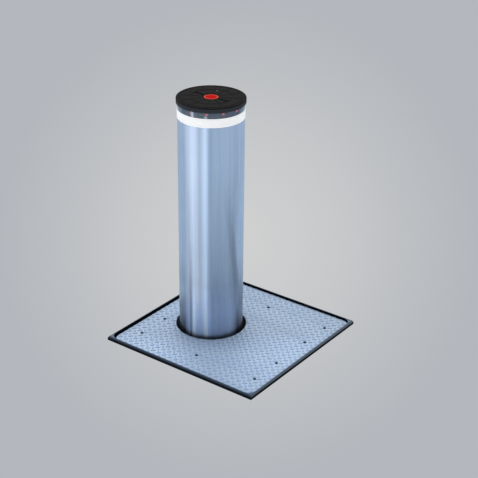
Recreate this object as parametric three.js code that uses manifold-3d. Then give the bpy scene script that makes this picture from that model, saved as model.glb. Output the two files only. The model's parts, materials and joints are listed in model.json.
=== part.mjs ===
// A hydraulic rising bollard, modelled with its post raised. Millimetres, +Z up, and the origin
// is the centre of the casing's underside. The post runs through a guide collar in a tube cage;
// a ram inside the post lifts it, and a small power pack stands beside it in the same cage.

import * as THREE from 'three'
import { mergeVertices } from 'three/addons/utils/BufferGeometryUtils.js'
import Module from 'manifold-3d'

const wasm = await Module()
wasm.setup()

// ---------- driving dimensions ----------

const GAP = 0.3 //                 left between pieces that touch
const GROUND = 1350 //             street level, at the frame's lip
const FRAME_SIDE = 760
const POST_X = -115.5 //           the post stands beside the power pack
const POST_R = 137.5 //            outside of the stainless sleeve
const CAP_TOP = GROUND + 1029 //   raised
const STROKE = 1025
const CAP_R = 142.5
const CAP_EDGE = 20.5
const LIGHT_HEIGHT = 24.2
const BAND_HEIGHT = 37.5
const LED_COUNT = 12
const LED_TURN = -2 //             degrees, so that the lamps match the cap's ribs
const PLATE_SIDE = 727
const PLATE_THICK = 8
const PLATE_RECESS = 9 //          the cover lies this far below the frame's lip
const PLATE_X = 4 //               the cover lies off centre in its frame, towards the power pack
const POST_HOLE_R = 153
const SCREW_X = 300 //             outer columns of cover screws, each side of the middle column
const SCREW_MID_X = 8 //           the middle column
const SCREW_Y = 258 //             outer rows of cover screws
const SCREW_MID_Y = 105 //         the two screws between the rows
const BASE_THICK = 8
const TUBE = 40 //                 square tube of the cage
const TUBE_WALL = 3
const GUIDE_R = 139.2 //           bore of the bush and the wiper
const GUIDE_LENGTH = 180
const FOOT_R = 160
const ROLLER_R = 20.6
const RAM_R = 30
const ROD_R = 17.5
const GEAR_MODULE = 3
const GEAR_TEETH = 10
const PACK = { x: 175, y: 60 } //  axis of the motor, the pump and the tank
const SHELF_TOP = 860.3

// Sides of the polygon that stands for a circle, by the size of the circle.
const WIDE = 36
const MIDDLE = 20
const SMALL = 12
const CABLE = 6

// Levels worked out from the dimensions above.
const plateTop = GROUND - PLATE_RECESS
const plateUnder = plateTop - PLATE_THICK
const cageTop = plateUnder - GAP
const capUnder = CAP_TOP - CAP_EDGE
const sleeveTop = capUnder - LIGHT_HEIGHT
const collarTop = cageTop - TUBE - GAP
const guideBottom = collarTop - GUIDE_LENGTH
const footTop = guideBottom - 18
const footUnder = footTop - 10
const crownUnder = sleeveTop - 42
const floor = BASE_THICK + GAP

const screwPlaces = [-SCREW_X, 0, SCREW_X].flatMap((column) => {
  const rows = column === 0 ? [SCREW_Y] : [SCREW_Y, SCREW_MID_Y]
  return rows.flatMap((y) => [-y, y].map((row) => [SCREW_MID_X + column, row]))
})

// ---------- materials ----------

const material = (color, roughness, metalness = 0) =>
  new THREE.MeshStandardMaterial({ color, roughness, metalness })

const stainless = material(0x9fb4cc, 0.35, 1)
const treadSteel = material(0xa9b6c6, 0.5, 0.8)
const blackSteel = material(0x1c1e20, 0.5, 0.3)
const galvanised = material(0x9aa0a3, 0.55, 0.8)
const machined = material(0xb8babd, 0.3, 1)
const chrome = material(0xd8dadd, 0.1, 1)
const capBlack = material(0x222324, 0.75)
const plugRed = material(0xd8342c, 0.5)
const bandWhite = material(0xf2f3f2, 0.4)
const smokedLens = material(0x56616e, 0.15)
const boardGreen = material(0x21543a, 0.6)
const rubber = material(0x161616, 0.85)
const bearing = material(0xe6e2d6, 0.5)
const castGrey = material(0x7b8084, 0.6, 0.5)
const motorBlue = material(0x2c5078, 0.45, 0.2)
const tankGrey = material(0x565c61, 0.45, 0.3)
const boxGrey = material(0xc3c6c6, 0.55)
const knobRed = material(0xb02a22, 0.5)
const cableBlack = material(0x141517, 0.6)
const sensorOrange = material(0xd47a20, 0.5)

// ---------- solids from three.js geometry ----------

const WELD = 1e-3

// A solid from a closed geometry, with its shared vertices merged.
function solid(geometry) {
  geometry.deleteAttribute('normal')
  geometry.deleteAttribute('uv')
  const merged = mergeVertices(geometry, WELD)
  const corners = []
  for (let i = 0; i < merged.index.count; i += 3) {
    const [a, b, c] = [0, 1, 2].map((k) => merged.index.getX(i + k))
    if (a !== b && b !== c && c !== a) corners.push(a, b, c)
  }
  return new wasm.Manifold(new wasm.Mesh({
    numProp: 3,
    vertProperties: new Float32Array(merged.attributes.position.array),
    triVerts: new Uint32Array(corners),
  }))
}

const span = (centre, size) => [centre - size / 2, centre + size / 2]

function block([x0, x1], [y0, y1], [z0, z1]) {
  const geometry = new THREE.BoxGeometry(x1 - x0, y1 - y0, z1 - z0)
  geometry.translate((x0 + x1) / 2, (y0 + y1) / 2, (z0 + z1) / 2)
  return solid(geometry)
}

// A round bar between two points.
function bar(radius, start, end, sides = SMALL) {
  const from = new THREE.Vector3(...start)
  const along = new THREE.Vector3(...end).sub(from)
  const geometry = new THREE.CylinderGeometry(radius, radius, along.length(), sides)
  geometry.translate(0, along.length() / 2, 0)
  const up = new THREE.Vector3(0, 1, 0)
  geometry.applyQuaternion(new THREE.Quaternion().setFromUnitVectors(up, along.clone().normalize()))
  geometry.translate(from.x, from.y, from.z)
  return solid(geometry)
}

const disc = (radius, [z0, z1], sides = SMALL, x = 0, y = 0) => bar(radius, [x, y, z0], [x, y, z1], sides)

// A profile of [radius, z] points turned about Z. It either starts and ends on the axis, or is
// a loop clear of it.
function turned(profile, sides = WIDE) {
  const points = profile.map(([r, z]) => new THREE.Vector2(r, z))
  if (THREE.ShapeUtils.area(points) < 0) points.reverse()
  const onAxis = points[0].x === 0 && points.at(-1).x === 0
  if (!onAxis) points.push(points[0].clone())
  const geometry = new THREE.LatheGeometry(points, sides)
  geometry.rotateX(Math.PI / 2)
  return solid(geometry)
}

const ring = (outer, inner, [z0, z1], sides = WIDE) =>
  turned([[inner, z0], [outer, z0], [outer, z1], [inner, z1]], sides)

function raised(shape, [z0, z1], curveSegments = SMALL) {
  const options = { depth: z1 - z0, bevelEnabled: false, curveSegments }
  const geometry = new THREE.ExtrudeGeometry(shape, options)
  geometry.translate(0, 0, z0)
  return solid(geometry)
}

const polygon = (points) => new THREE.Shape(points.map(([x, y]) => new THREE.Vector2(x, y)))

function roundedSquare(half, radius) {
  const shape = new THREE.Shape()
  const near = half - radius
  shape.absarc(near, near, radius, 0, Math.PI / 2)
  shape.absarc(-near, near, radius, Math.PI / 2, Math.PI)
  shape.absarc(-near, -near, radius, Math.PI, 1.5 * Math.PI)
  shape.absarc(near, -near, radius, 1.5 * Math.PI, 2 * Math.PI)
  return shape
}

// A round cable or hose along a curve.
function swept(curve, radius, steps) {
  const circle = polygon(Array.from({ length: CABLE }, (_, i) => {
    const angle = (i / CABLE) * 2 * Math.PI
    return [radius * Math.cos(angle), radius * Math.sin(angle)]
  }))
  return solid(new THREE.ExtrudeGeometry(circle, { steps, extrudePath: curve }))
}

const through = (points) => new THREE.CatmullRomCurve3(points.map((p) => new THREE.Vector3(...p)))

const joined = (pieces) => pieces.reduce((whole, piece) => whole.add(piece))
const cut = (piece, holes) => holes.reduce((whole, hole) => whole.subtract(hole), piece)
const repeat = (count, make) => Array.from({ length: count }, (_, i) => make(i))

// ---------- the scene graph ----------

const bollard = new THREE.Group()
const post = new THREE.Group()
const pack = new THREE.Group()
post.position.set(POST_X, 0, 0)
pack.position.set(PACK.x, PACK.y, SHELF_TOP)
bollard.add(post, pack)

function add(group, name, piece, look) {
  const { vertProperties, triVerts } = piece.getMesh()
  const geometry = new THREE.BufferGeometry()
  geometry.setAttribute('position', new THREE.BufferAttribute(vertProperties, 3))
  geometry.setIndex(new THREE.BufferAttribute(triVerts, 1))
  geometry.computeVertexNormals()
  const mesh = new THREE.Mesh(geometry, look)
  mesh.name = name
  group.add(mesh)
  return mesh
}

// ---------- frame and cover at street level ----------

const FRAME_BEVEL = { width: 6, height: 7 }
const FRAME_LIP = 3 //    the flat top between the bevel and the inside face
const FRAME_CORNER = 35 // inside the lip
const SKIRT = { wall: 5, height: 60 } // the upright sides
const PLATE_CORNER = 27.5
const SCREW = { hole: 4.6, thread: 4.4, shank: 4, length: 20 }
const LEDGE = { inner: 340, thick: 6, depth: 20 } // the shelf inside the frame that carries the cover
const ledgeTop = GROUND - LEDGE.depth
const skirtBottom = GROUND - SKIRT.height

function topFrame() {
  const half = FRAME_SIDE / 2
  const bevelBottom = GROUND - FRAME_BEVEL.height
  const bevel = new THREE.CylinderGeometry(
    (half - FRAME_BEVEL.width) * Math.SQRT2, half * Math.SQRT2, FRAME_BEVEL.height, 4)
  bevel.rotateX(Math.PI / 2)
  bevel.rotateZ(Math.PI / 4)
  bevel.translate(0, 0, GROUND - FRAME_BEVEL.height / 2)
  const body = block([-half, half], [-half, half], [skirtBottom, bevelBottom]).add(solid(bevel))
  const lipInner = half - FRAME_BEVEL.width - FRAME_LIP
  const skirtInner = half - SKIRT.wall
  const ledgeUnder = ledgeTop - LEDGE.thick
  return cut(body, [
    raised(roundedSquare(lipInner, FRAME_CORNER), [ledgeTop, GROUND + 1], 6),
    block([-LEDGE.inner, LEDGE.inner], [-LEDGE.inner, LEDGE.inner], [skirtBottom, GROUND]),
    block([-skirtInner, skirtInner], [-skirtInner, skirtInner], [skirtBottom - 1, ledgeUnder]),
  ])
}
add(bollard, 'top_frame', topFrame(), blackSteel)

function coverPlate() {
  const sheet = raised(roundedSquare(PLATE_SIDE / 2, PLATE_CORNER), [plateUnder, plateTop], 6)
  const plate = sheet.translate([PLATE_X, 0, 0])
  const z = [plateUnder - 1, plateTop + 1]
  const postHole = disc(POST_HOLE_R, z, WIDE, POST_X)
  const screwHoles = screwPlaces.map(([x, y]) => disc(SCREW.hole, z, SMALL, x, y))
  return cut(plate, [postHole, ...screwHoles])
}
add(bollard, 'cover_plate', coverPlate(), treadSteel)

// M8 button-head screw; its own origin is where the head meets the cover.
function coverScrew() {
  const head = turned([[0, GAP], [7, GAP], [7, 1.6], [5.2, 3.6], [3, 4.4], [0, 4.4]], SMALL)
  return head.add(disc(SCREW.shank, [-SCREW.length, 1]))
}
screwPlaces.forEach(([x, y], i) => {
  const name = `cover_screw_${String(i + 1).padStart(2, '0')}`
  add(bollard, name, coverScrew(), machined).position.set(x, y, plateTop)
})

function coverGasket() {
  const z = [ledgeTop + GAP, plateUnder - GAP]
  const outer = raised(roundedSquare(362, 26), z, 4)
  const inner = LEDGE.inner + 2
  return outer.subtract(block([-inner, inner], [-inner, inner], [z[0] - 1, z[1] + 1]))
}
add(bollard, 'cover_gasket', coverGasket(), rubber)

// ---------- cage ----------

const CROSS_X = 80 //     the cross tube between the post and the power pack
const RAIL_Z = 834 //     the tubes that carry the shelf
const upper = cageTop - TUBE / 2
const lower = floor + TUBE / 2

// Centre lines of the cage's tubes.
function cageLines() {
  const corners = [[-SCREW_X, -SCREW_Y], [SCREW_X, -SCREW_Y], [SCREW_X, SCREW_Y], [-SCREW_X, SCREW_Y]]
  const around = (z) => corners.map((corner, i) => [[...corner, z], [...corners[(i + 1) % 4], z]])
  const uprights = corners.map((corner) => [[...corner, lower], [...corner, upper]])
  const cross = [[CROSS_X, -SCREW_Y, upper], [CROSS_X, SCREW_Y, upper]]
  return [...around(upper), ...around(lower), ...around(RAIL_Z).slice(0, 3), ...uprights, cross]
}

function cageTubes(size) {
  return joined(cageLines().map(([a, b]) => {
    const reach = [0, 1, 2].map((k) => {
      return [Math.min(a[k], b[k]) - size / 2, Math.max(a[k], b[k]) + size / 2]
    })
    return block(...reach)
  }))
}

const flangeTop = ledgeTop - LEDGE.thick - GAP
const flangeUnder = flangeTop - 6

// A rib under the flange, standing out from the point (x, y) of an upright face of the cage.
function flangeRib(x, y, turn, reach) {
  const thick = 6
  const outline = polygon([[-1, 0], [-1, -90], [reach, -8], [reach, 1]])
  const geometry = new THREE.ExtrudeGeometry(outline, { depth: thick, bevelEnabled: false })
  geometry.translate(0, 0, -thick / 2)
  geometry.rotateX(Math.PI / 2)
  geometry.rotateZ(turn)
  geometry.translate(x, y, flangeUnder)
  return solid(geometry)
}

function chassis() {
  const outer = cageTubes(TUBE)
  const faceX = SCREW_X + TUBE / 2
  const faceY = SCREW_Y + TUBE / 2
  const flangeHalf = 368
  const flange = block([-flangeHalf, flangeHalf], [-flangeHalf, flangeHalf], [flangeUnder, flangeTop])
  const opening = block([1 - faceX, faceX - 1], [1 - faceY, faceY - 1], [flangeUnder - 1, flangeTop + 1])
  const ribs = [-200, 200].flatMap((along) => [
    flangeRib(faceX, along, 0, flangeHalf - faceX - 4),
    flangeRib(-faceX, along, Math.PI, flangeHalf - faceX - 4),
    flangeRib(along, faceY, Math.PI / 2, flangeHalf - faceY - 4),
    flangeRib(along, -faceY, -Math.PI / 2, flangeHalf - faceY - 4),
  ])
  const hollow = cageTubes(TUBE - 2 * TUBE_WALL)
  const threads = screwPlaces.map(([x, y]) => disc(SCREW.thread, [cageTop - 8, cageTop + 1], SMALL, x, y))
  return cut(joined([outer, flange.subtract(opening), ...ribs]), [hollow, ...threads])
}
add(bollard, 'chassis', chassis(), galvanised)

const DRAIN_R = 50

function basePlate() {
  const halfX = SCREW_X + TUBE / 2
  const halfY = SCREW_Y + TUBE / 2
  const plate = block([-halfX, halfX], [-halfY, halfY], [0, BASE_THICK])
  return plate.subtract(disc(DRAIN_R, [-1, BASE_THICK + 1], MIDDLE, PACK.x))
}
add(bollard, 'base_plate', basePlate(), galvanised)

// ---------- guide for the post ----------

const HOUSING_R = { inner: 150, outer: 162 }
const COLLAR_PLATE = 10 //         thickness of the plate round the guide's top
const COLLAR_RIB = { length: 70, thick: 8, height: 110 }
const WIPER = { radius: 158, height: 10 }

function guideCollar() {
  const plateZ = [collarTop - COLLAR_PLATE, collarTop]
  const left = -SCREW_X - TUBE / 2 - POST_X + 1
  const right = CROSS_X + TUBE / 2 - POST_X
  const halfY = SCREW_Y + TUBE / 2 - 1
  const notch = SCREW_Y - TUBE / 2 - 1
  const notchX = [left - 1, left + TUBE + 1]
  const notchZ = [plateZ[0] - 1, plateZ[1] + 1]
  const ribs = repeat(4, (i) => {
    const { length, thick, height } = COLLAR_RIB
    const rib = new THREE.BoxGeometry(length, thick, height)
    rib.translate(HOUSING_R.outer - 1 + length / 2, 0, plateZ[0] + 1 - height / 2)
    rib.rotateZ(Math.PI / 4 + (i * Math.PI) / 2)
    return solid(rib)
  })
  const body = joined([
    block([left, right], [-halfY, halfY], plateZ),
    disc(HOUSING_R.outer, [guideBottom, collarTop - 1], WIDE),
    ...ribs,
  ])
  return cut(body, [
    disc(HOUSING_R.inner, [guideBottom - 1, collarTop + 1], WIDE),
    block(notchX, [notch, halfY + 1], notchZ),
    block(notchX, [-halfY - 1, -notch], notchZ),
  ])
}
add(post, 'guide_collar', guideCollar(), castGrey)
add(post, 'guide_bush', ring(HOUSING_R.inner - GAP, GUIDE_R, [guideBottom + GAP, collarTop - GAP]), bearing)
add(post, 'wiper_seal', ring(WIPER.radius, GUIDE_R, [collarTop + GAP, collarTop + WIPER.height]), rubber)

const RAIL = { near: 175, far: 215, half: 25, wall: 4 } // y of its open side and back, half width

function guideRail() {
  const { near, far, half, wall } = RAIL
  const outline = polygon([
    [-half, -far], [half, -far], [half, -near], [half - wall, -near],
    [half - wall, wall - far], [wall - half, wall - far], [wall - half, -near], [-half, -near],
  ])
  return raised(outline, [floor, collarTop - COLLAR_PLATE - GAP])
}
add(post, 'guide_rail_front', guideRail(), galvanised)
add(post, 'guide_rail_back', guideRail(), galvanised).rotation.z = Math.PI

// ---------- hydraulic ram ----------

const RAM_SEAT = { half: 60, height: 20, spigot: 52 } // heights from the casing's floor
const BARREL_BORE = 25
const BARREL_TOP = 1240
const SPIGOT_R = 12 //   the thinner ends of the rod, through the piston and the crown plate
const PISTON = { under: 1185, top: 1215 }
const crownTop = crownUnder + 15
const NUT_HEIGHT = 19
const rodTop = sleeveTop - 1
const SLEEVE_WALL = 2.5
const POST_TUBE = { outer: POST_R - SLEEVE_WALL - GAP, inner: POST_R - SLEEVE_WALL - GAP - 8 }

function ramFoot() {
  const { half, height, spigot } = RAM_SEAT
  const plate = block([-half, half], [-half, half], [floor, floor + height])
  return plate.add(disc(BARREL_BORE - GAP, [floor + height - 1, floor + spigot], MIDDLE))
}
add(post, 'ram_foot', ramFoot(), castGrey)
const barrelZ = [floor + RAM_SEAT.height + GAP, BARREL_TOP]
add(post, 'ram_barrel', ring(RAM_R, BARREL_BORE, barrelZ, MIDDLE), blackSteel)

function ramGland() {
  const barrelHole = RAM_R + GAP
  const rodHole = ROD_R + GAP
  const outer = RAM_R + 6
  const under = BARREL_TOP - 18
  const top = BARREL_TOP + 22
  return turned([
    [barrelHole, under], [outer, under], [outer, top],
    [rodHole, top], [rodHole, BARREL_TOP + GAP], [barrelHole, BARREL_TOP + GAP],
  ], MIDDLE)
}
add(post, 'ram_gland', ramGland(), machined)

const BOLT = { radius: 6, hole: 32, length: 28, head: 9, seat: 10 } // holds the cap on the rod

function ramRod() {
  return turned([
    [0, PISTON.under], [SPIGOT_R, PISTON.under], [SPIGOT_R, PISTON.top], [ROD_R, PISTON.top],
    [ROD_R, crownUnder - GAP], [SPIGOT_R, crownUnder - GAP], [SPIGOT_R, rodTop],
    [BOLT.radius + GAP, rodTop], [BOLT.radius + GAP, rodTop - BOLT.hole], [0, rodTop - BOLT.hole],
  ], MIDDLE)
}
add(post, 'ram_rod', ramRod(), chrome)
const pistonZ = [PISTON.under, PISTON.top - GAP]
add(post, 'ram_piston', ring(BARREL_BORE - GAP, SPIGOT_R + GAP, pistonZ, MIDDLE), machined)

function crownPlate() {
  const z = [crownUnder - 1, crownTop + 1]
  const away = 78
  const openings = repeat(4, (i) => {
    const angle = Math.PI / 4 + (i * Math.PI) / 2
    return disc(22, z, SMALL, away * Math.cos(angle), away * Math.sin(angle))
  })
  const plate = disc(POST_TUBE.inner - GAP, [crownUnder, crownTop], WIDE)
  return cut(plate, [disc(SPIGOT_R + GAP, z, MIDDLE), ...openings])
}
add(post, 'crown_plate', crownPlate(), galvanised)

function rodNut() {
  const acrossFlats = 36
  const cornerR = acrossFlats / Math.sqrt(3)
  const z = [crownTop + GAP, crownTop + GAP + NUT_HEIGHT]
  return disc(cornerR, z, 6).subtract(disc(SPIGOT_R + GAP, [z[0] - 1, z[1] + 1], MIDDLE))
}
add(post, 'rod_nut', rodNut(), machined)

// ---------- the moving post ----------

const tubeZ = [footTop + GAP, sleeveTop - GAP]
add(post, 'post_tube', ring(POST_TUBE.outer, POST_TUBE.inner, tubeZ), galvanised)
add(post, 'post_sleeve', ring(POST_R, POST_R - SLEEVE_WALL, [footTop + GAP, sleeveTop]), stainless)
const bandZ = [sleeveTop - BAND_HEIGHT, sleeveTop - GAP]
add(post, 'reflective_band', ring(POST_R + GAP + 0.8, POST_R + GAP, bandZ), bandWhite)
add(post, 'light_ring', ring(POST_R, POST_R - 6.5, [sleeveTop + GAP, capUnder - GAP]), smokedLens)

const BOARD_R = 128.6
const LED_DROP = 11 //           below the underside of the cap

function ledBoard() {
  const strip = ring(BOARD_R, BOARD_R - 1.6, [sleeveTop + GAP, capUnder - 1.5])
  const leds = repeat(LED_COUNT, (i) => {
    const led = new THREE.BoxGeometry(3, 6, 5)
    led.translate(BOARD_R, 0, capUnder - LED_DROP)
    led.rotateZ(THREE.MathUtils.degToRad(LED_TURN + (i * 360) / LED_COUNT))
    return solid(led)
  })
  return joined([strip, ...leds])
}
add(post, 'led_board', ledBoard(), boardGreen)

const PLUG = { radius: 30, thick: 5.7 }
const plugSeat = CAP_TOP - PLUG.thick - GAP
const headSeat = plugSeat - BOLT.seat

// The cap: an outer disc, a locating ring inside the light ring, and a hub down to the rod.
function capBody() {
  const hole = BOLT.radius + GAP
  const hub = 24
  const locating = { outer: BOARD_R - 1.6 - 0.7, inner: 118, depth: 13 }
  const chamfer = 2.5
  return turned([
    [hole, rodTop + 4], [hub, rodTop + 4], [hub, capUnder], [locating.inner, capUnder],
    [locating.inner, capUnder - locating.depth], [locating.outer, capUnder - locating.depth],
    [locating.outer, capUnder], [CAP_R, capUnder], [CAP_R, CAP_TOP - chamfer],
    [CAP_R - chamfer, CAP_TOP], [PLUG.radius + GAP, CAP_TOP], [PLUG.radius + GAP, plugSeat],
    [BOLT.head + 1, plugSeat], [BOLT.head + 1, headSeat], [hole, headSeat],
  ])
}
add(post, 'cap', capBody(), capBlack)
add(post, 'cap_plug', disc(PLUG.radius, [CAP_TOP - PLUG.thick, CAP_TOP], MIDDLE), plugRed)

function capBolt() {
  const seat = headSeat + GAP
  const head = disc(BOLT.head, [seat, seat + 9], MIDDLE)
  return head.add(disc(BOLT.radius, [rodTop - BOLT.length, seat + 1], SMALL))
}
add(post, 'cap_bolt', capBolt(), machined)

const AXLE_Z = footUnder - 21
const AXLE_R = 6
const AXLE_END = 208 //            the outer face of the roller too

function footFlange() {
  const sides = [-1, 1].flatMap((side) => [
    block([-18, 18], span(side * 155, 30), [footUnder - 42, footUnder + 1]),
    bar(AXLE_R, [0, side * 168, AXLE_Z], [0, side * AXLE_END, AXLE_Z]),
  ])
  return joined([ring(FOOT_R, 60, [footUnder, footTop]), ...sides])
}
add(post, 'foot_flange', footFlange(), galvanised)

function roller() {
  const inner = AXLE_END - 18
  const wheel = bar(ROLLER_R, [0, -AXLE_END, AXLE_Z], [0, -inner, AXLE_Z], MIDDLE)
  return wheel.subtract(bar(AXLE_R + GAP, [0, -AXLE_END - 1, AXLE_Z], [0, 1 - inner, AXLE_Z]))
}
add(post, 'roller_front', roller(), bearing)
add(post, 'roller_back', roller(), bearing).rotation.z = Math.PI

// ---------- buffer and limit switches ----------

function bufferRing() {
  const whole = ring(120, 90, [floor, floor + 43], MIDDLE)
  return whole.subtract(block([60, 125], [-78, -6], [floor - 1, floor + 50])) // slot for hose and cable
}
add(post, 'buffer_ring', bufferRing(), rubber)

const SWITCH_X = 57
add(post, 'sensor_magnet', block(span(SWITCH_X, 16), [121, 133], [footUnder - 24, footUnder - GAP]), machined)

// A switch body on the side of the back rail, with its round nose towards the magnet.
function limitSwitch(z) {
  const body = block([RAIL.half + GAP, SWITCH_X + 14], [RAIL.near, RAIL.near + 24], span(z, 36))
  return body.add(bar(8, [SWITCH_X, RAIL.near + 1, z], [SWITCH_X, RAIL.near - 17, z]))
}
add(post, 'upper_sensor', limitSwitch(footUnder - 12), sensorOrange)
add(post, 'lower_sensor', limitSwitch(footUnder - 12 - STROKE), sensorOrange)

// ---------- power pack on its shelf ----------

const TANK = { radius: 80, wall: 3, depth: 245, rim: 92 }

function shelf() {
  const left = CROSS_X - 4
  const sheet = block([left, SCREW_X - TUBE / 2 - GAP], [-SCREW_Y, SCREW_Y], [SHELF_TOP - 6, SHELF_TOP])
  const lip = block([left, left + 4], [-220, 220], [SHELF_TOP - 30, SHELF_TOP - 5])
  return sheet.add(lip).subtract(disc(TANK.radius + 3, [SHELF_TOP - 40, SHELF_TOP + 1], WIDE, PACK.x, PACK.y))
}
add(bollard, 'shelf', shelf(), galvanised)

// Everything in the pack's group is measured from the top of the shelf.
const blockUnder = 5 + 2 * GAP
const blockTop = blockUnder + 50
const SHAFT_R = 6

function oilTank() {
  const inner = TANK.radius - TANK.wall
  const rimTop = GAP + 5
  return turned([
    [0, -TANK.depth], [TANK.radius, -TANK.depth], [TANK.radius, GAP], [TANK.rim, GAP],
    [TANK.rim, rimTop], [inner, rimTop], [inner, TANK.wall - TANK.depth], [0, TANK.wall - TANK.depth],
  ], MIDDLE)
}
add(pack, 'oil_tank', oilTank(), tankGrey)

const BLOCK_HALF = 95
const VALVE = { x: -71, y: 71, stem: 8 }
const KNOB = { x: 71, y: -71, stem: 5, radius: 17 }
const FILLER = { x: -71, y: -71, stem: 9 }
const PORT = { y: -40, z: 30 }

function pumpBlock() {
  const half = [-BLOCK_HALF, BLOCK_HALF]
  const body = block(half, half, [blockUnder, blockTop])
  const socket = ({ x, y, stem }) => disc(stem + GAP, [blockTop - 24, blockTop + 1], MIDDLE, x, y)
  return cut(body, [
    disc(SHAFT_R + 2, [blockUnder - 1, blockTop + 1], SMALL),
    socket(VALVE),
    socket(KNOB),
    socket(FILLER),
    bar(6, [-BLOCK_HALF - 1, PORT.y, PORT.z], [20 - BLOCK_HALF, PORT.y, PORT.z]),
  ])
}
add(pack, 'pump_block', pumpBlock(), castGrey)

const gearCentres = GEAR_MODULE * GEAR_TEETH
const gearTip = GEAR_MODULE * (GEAR_TEETH / 2 + 0.8)
const gearZ = [-20, blockUnder - 5]
const shaftEnd = -34

function pumpHousing() {
  const body = block([-32, gearCentres + 32], [-30, 30], [-42, blockUnder - GAP])
  const pockets = [0, gearCentres].map((x) => {
    return disc(gearTip + 0.4, [gearZ[0] - GAP, blockUnder], MIDDLE, x)
  })
  const bearings = [0, gearCentres].map((x) => disc(SHAFT_R + GAP, [shaftEnd - 1, gearZ[0]], SMALL, x))
  const portX = gearCentres / 2
  return cut(body, [...pockets, ...bearings, bar(4, [portX, -31, -10], [portX, 31, -10])])
}
add(pack, 'pump_housing', pumpHousing(), castGrey)

// One gear blank outline: involute flanks between the base circle and the tip circle.
function gearOutline() {
  const pressure = THREE.MathUtils.degToRad(28)
  const pitchR = (GEAR_MODULE * GEAR_TEETH) / 2
  const baseR = pitchR * Math.cos(pressure)
  const rootR = pitchR - 1.05 * GEAR_MODULE
  const play = 0.15 / pitchR
  const involute = (angle) => Math.tan(angle) - angle
  const halfTooth = Math.PI / (2 * GEAR_TEETH) - play
  const flankAt = (r) => halfTooth + involute(pressure) - involute(Math.acos(Math.min(1, baseR / r)))
  const flank = repeat(4, (i) => {
    const r = baseR + ((gearTip - baseR) * i) / 3
    return [r, flankAt(r)]
  })
  const side = [[rootR, flankAt(baseR)], ...flank]
  const tooth = [...side.map(([r, a]) => [r, -a]), ...side.map(([r, a]) => [r, a]).reverse()]
  const step = (2 * Math.PI) / GEAR_TEETH
  return polygon(repeat(GEAR_TEETH, (i) => {
    return tooth.map(([r, a]) => [r * Math.cos(a + i * step), r * Math.sin(a + i * step)])
  }).flat())
}

function driveGear() {
  return raised(gearOutline(), gearZ).subtract(disc(SHAFT_R + GAP, [gearZ[0] - 1, gearZ[1] + 1]))
}
add(pack, 'drive_gear', driveGear(), machined)

// The idler carries its own journal, and stands half a tooth round from the drive gear.
const idler = raised(gearOutline(), gearZ).add(disc(SHAFT_R, [shaftEnd, gearZ[0] + 1]))
const idlerMesh = add(pack, 'idler_gear', idler, machined)
idlerMesh.position.x = gearCentres
idlerMesh.rotation.z = Math.PI / GEAR_TEETH

const MOTOR = { radius: 62, bore: 51, flange: 69, height: 184 }
const motorUnder = blockTop + GAP
const motorTop = motorUnder + MOTOR.height

function motorHousing() {
  const hole = SHAFT_R + 2
  const { radius, bore, flange } = MOTOR
  return turned([
    [hole, motorUnder], [flange, motorUnder], [flange, motorUnder + 10], [radius, motorUnder + 10],
    [radius, motorTop], [hole, motorTop], [hole, motorTop - 8], [bore, motorTop - 8],
    [bore, motorUnder + 16], [hole, motorUnder + 16],
  ], MIDDLE)
}
add(pack, 'motor_housing', motorHousing(), motorBlue)

const FAN = { blades: 7, radius: 50, height: 14 }

function motorRotor() {
  const fanZ = motorTop + 12
  const blades = repeat(FAN.blades, (i) => {
    const blade = new THREE.BoxGeometry(FAN.radius - 8, 2.5, FAN.height)
    blade.translate((FAN.radius + 8) / 2, 0, fanZ)
    blade.rotateZ((i * 2 * Math.PI) / FAN.blades)
    return solid(blade)
  })
  return joined([
    disc(SHAFT_R, [shaftEnd, fanZ + 9]),
    disc(MOTOR.bore - 3, [motorUnder + 24, motorTop - 16], MIDDLE),
    disc(13, span(fanZ, FAN.height + 2), SMALL),
    ...blades,
  ])
}
add(pack, 'motor_rotor', motorRotor(), machined)

function fanCowl() {
  const outer = MOTOR.radius
  const top = motorTop + 36
  const shell = turned([
    [outer - 3, motorTop + GAP], [outer, motorTop + GAP], [outer, top - 6], [outer - 6, top],
    [0, top], [0, top - 3], [outer - 7, top - 3], [outer - 3, top - 7],
  ], MIDDLE)
  const slots = repeat(10, (i) => {
    const slot = new THREE.BoxGeometry(32, 6, 10)
    slot.translate(33, 0, top)
    slot.rotateZ((i * 2 * Math.PI) / 10)
    return solid(slot)
  })
  return cut(shell, slots)
}
add(pack, 'fan_cowl', fanCowl(), blackSteel)

function solenoidValve() {
  return joined([
    disc(VALVE.stem, [blockTop - 22, blockTop + 6]),
    disc(15, [blockTop + GAP, blockTop + 6], 6),
    block([-18, 18], [-18, 18], [blockTop + 5, blockTop + 45]),
    disc(9, [blockTop + 44, blockTop + 54], 6),
  ])
}
add(pack, 'solenoid_valve', solenoidValve(), blackSteel).position.set(VALVE.x, VALVE.y, 0)

// The hand-lowering valve: a fluted knob on a stem.
function releaseKnob() {
  const under = blockTop + 8
  const flutes = repeat(6, (i) => {
    const angle = (i * Math.PI) / 3
    const reach = KNOB.radius + 2.5
    return disc(5, [under - 1, under + 15], SMALL, reach * Math.cos(angle), reach * Math.sin(angle))
  })
  const grip = cut(disc(KNOB.radius, [under, under + 14], MIDDLE), flutes)
  return grip.add(disc(KNOB.stem, [blockTop - 20, under + 1]))
}
add(pack, 'release_knob', releaseKnob(), knobRed).position.set(KNOB.x, KNOB.y, 0)

function fillerCap() {
  return joined([
    disc(FILLER.stem, [blockTop - 20, blockTop + 4], MIDDLE),
    disc(20, [blockTop + GAP, blockTop + 6], MIDDLE),
    disc(16, [blockTop + 5, blockTop + 20], MIDDLE),
  ])
}
add(pack, 'filler_cap', fillerCap(), blackSteel).position.set(FILLER.x, FILLER.y, 0)

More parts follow.
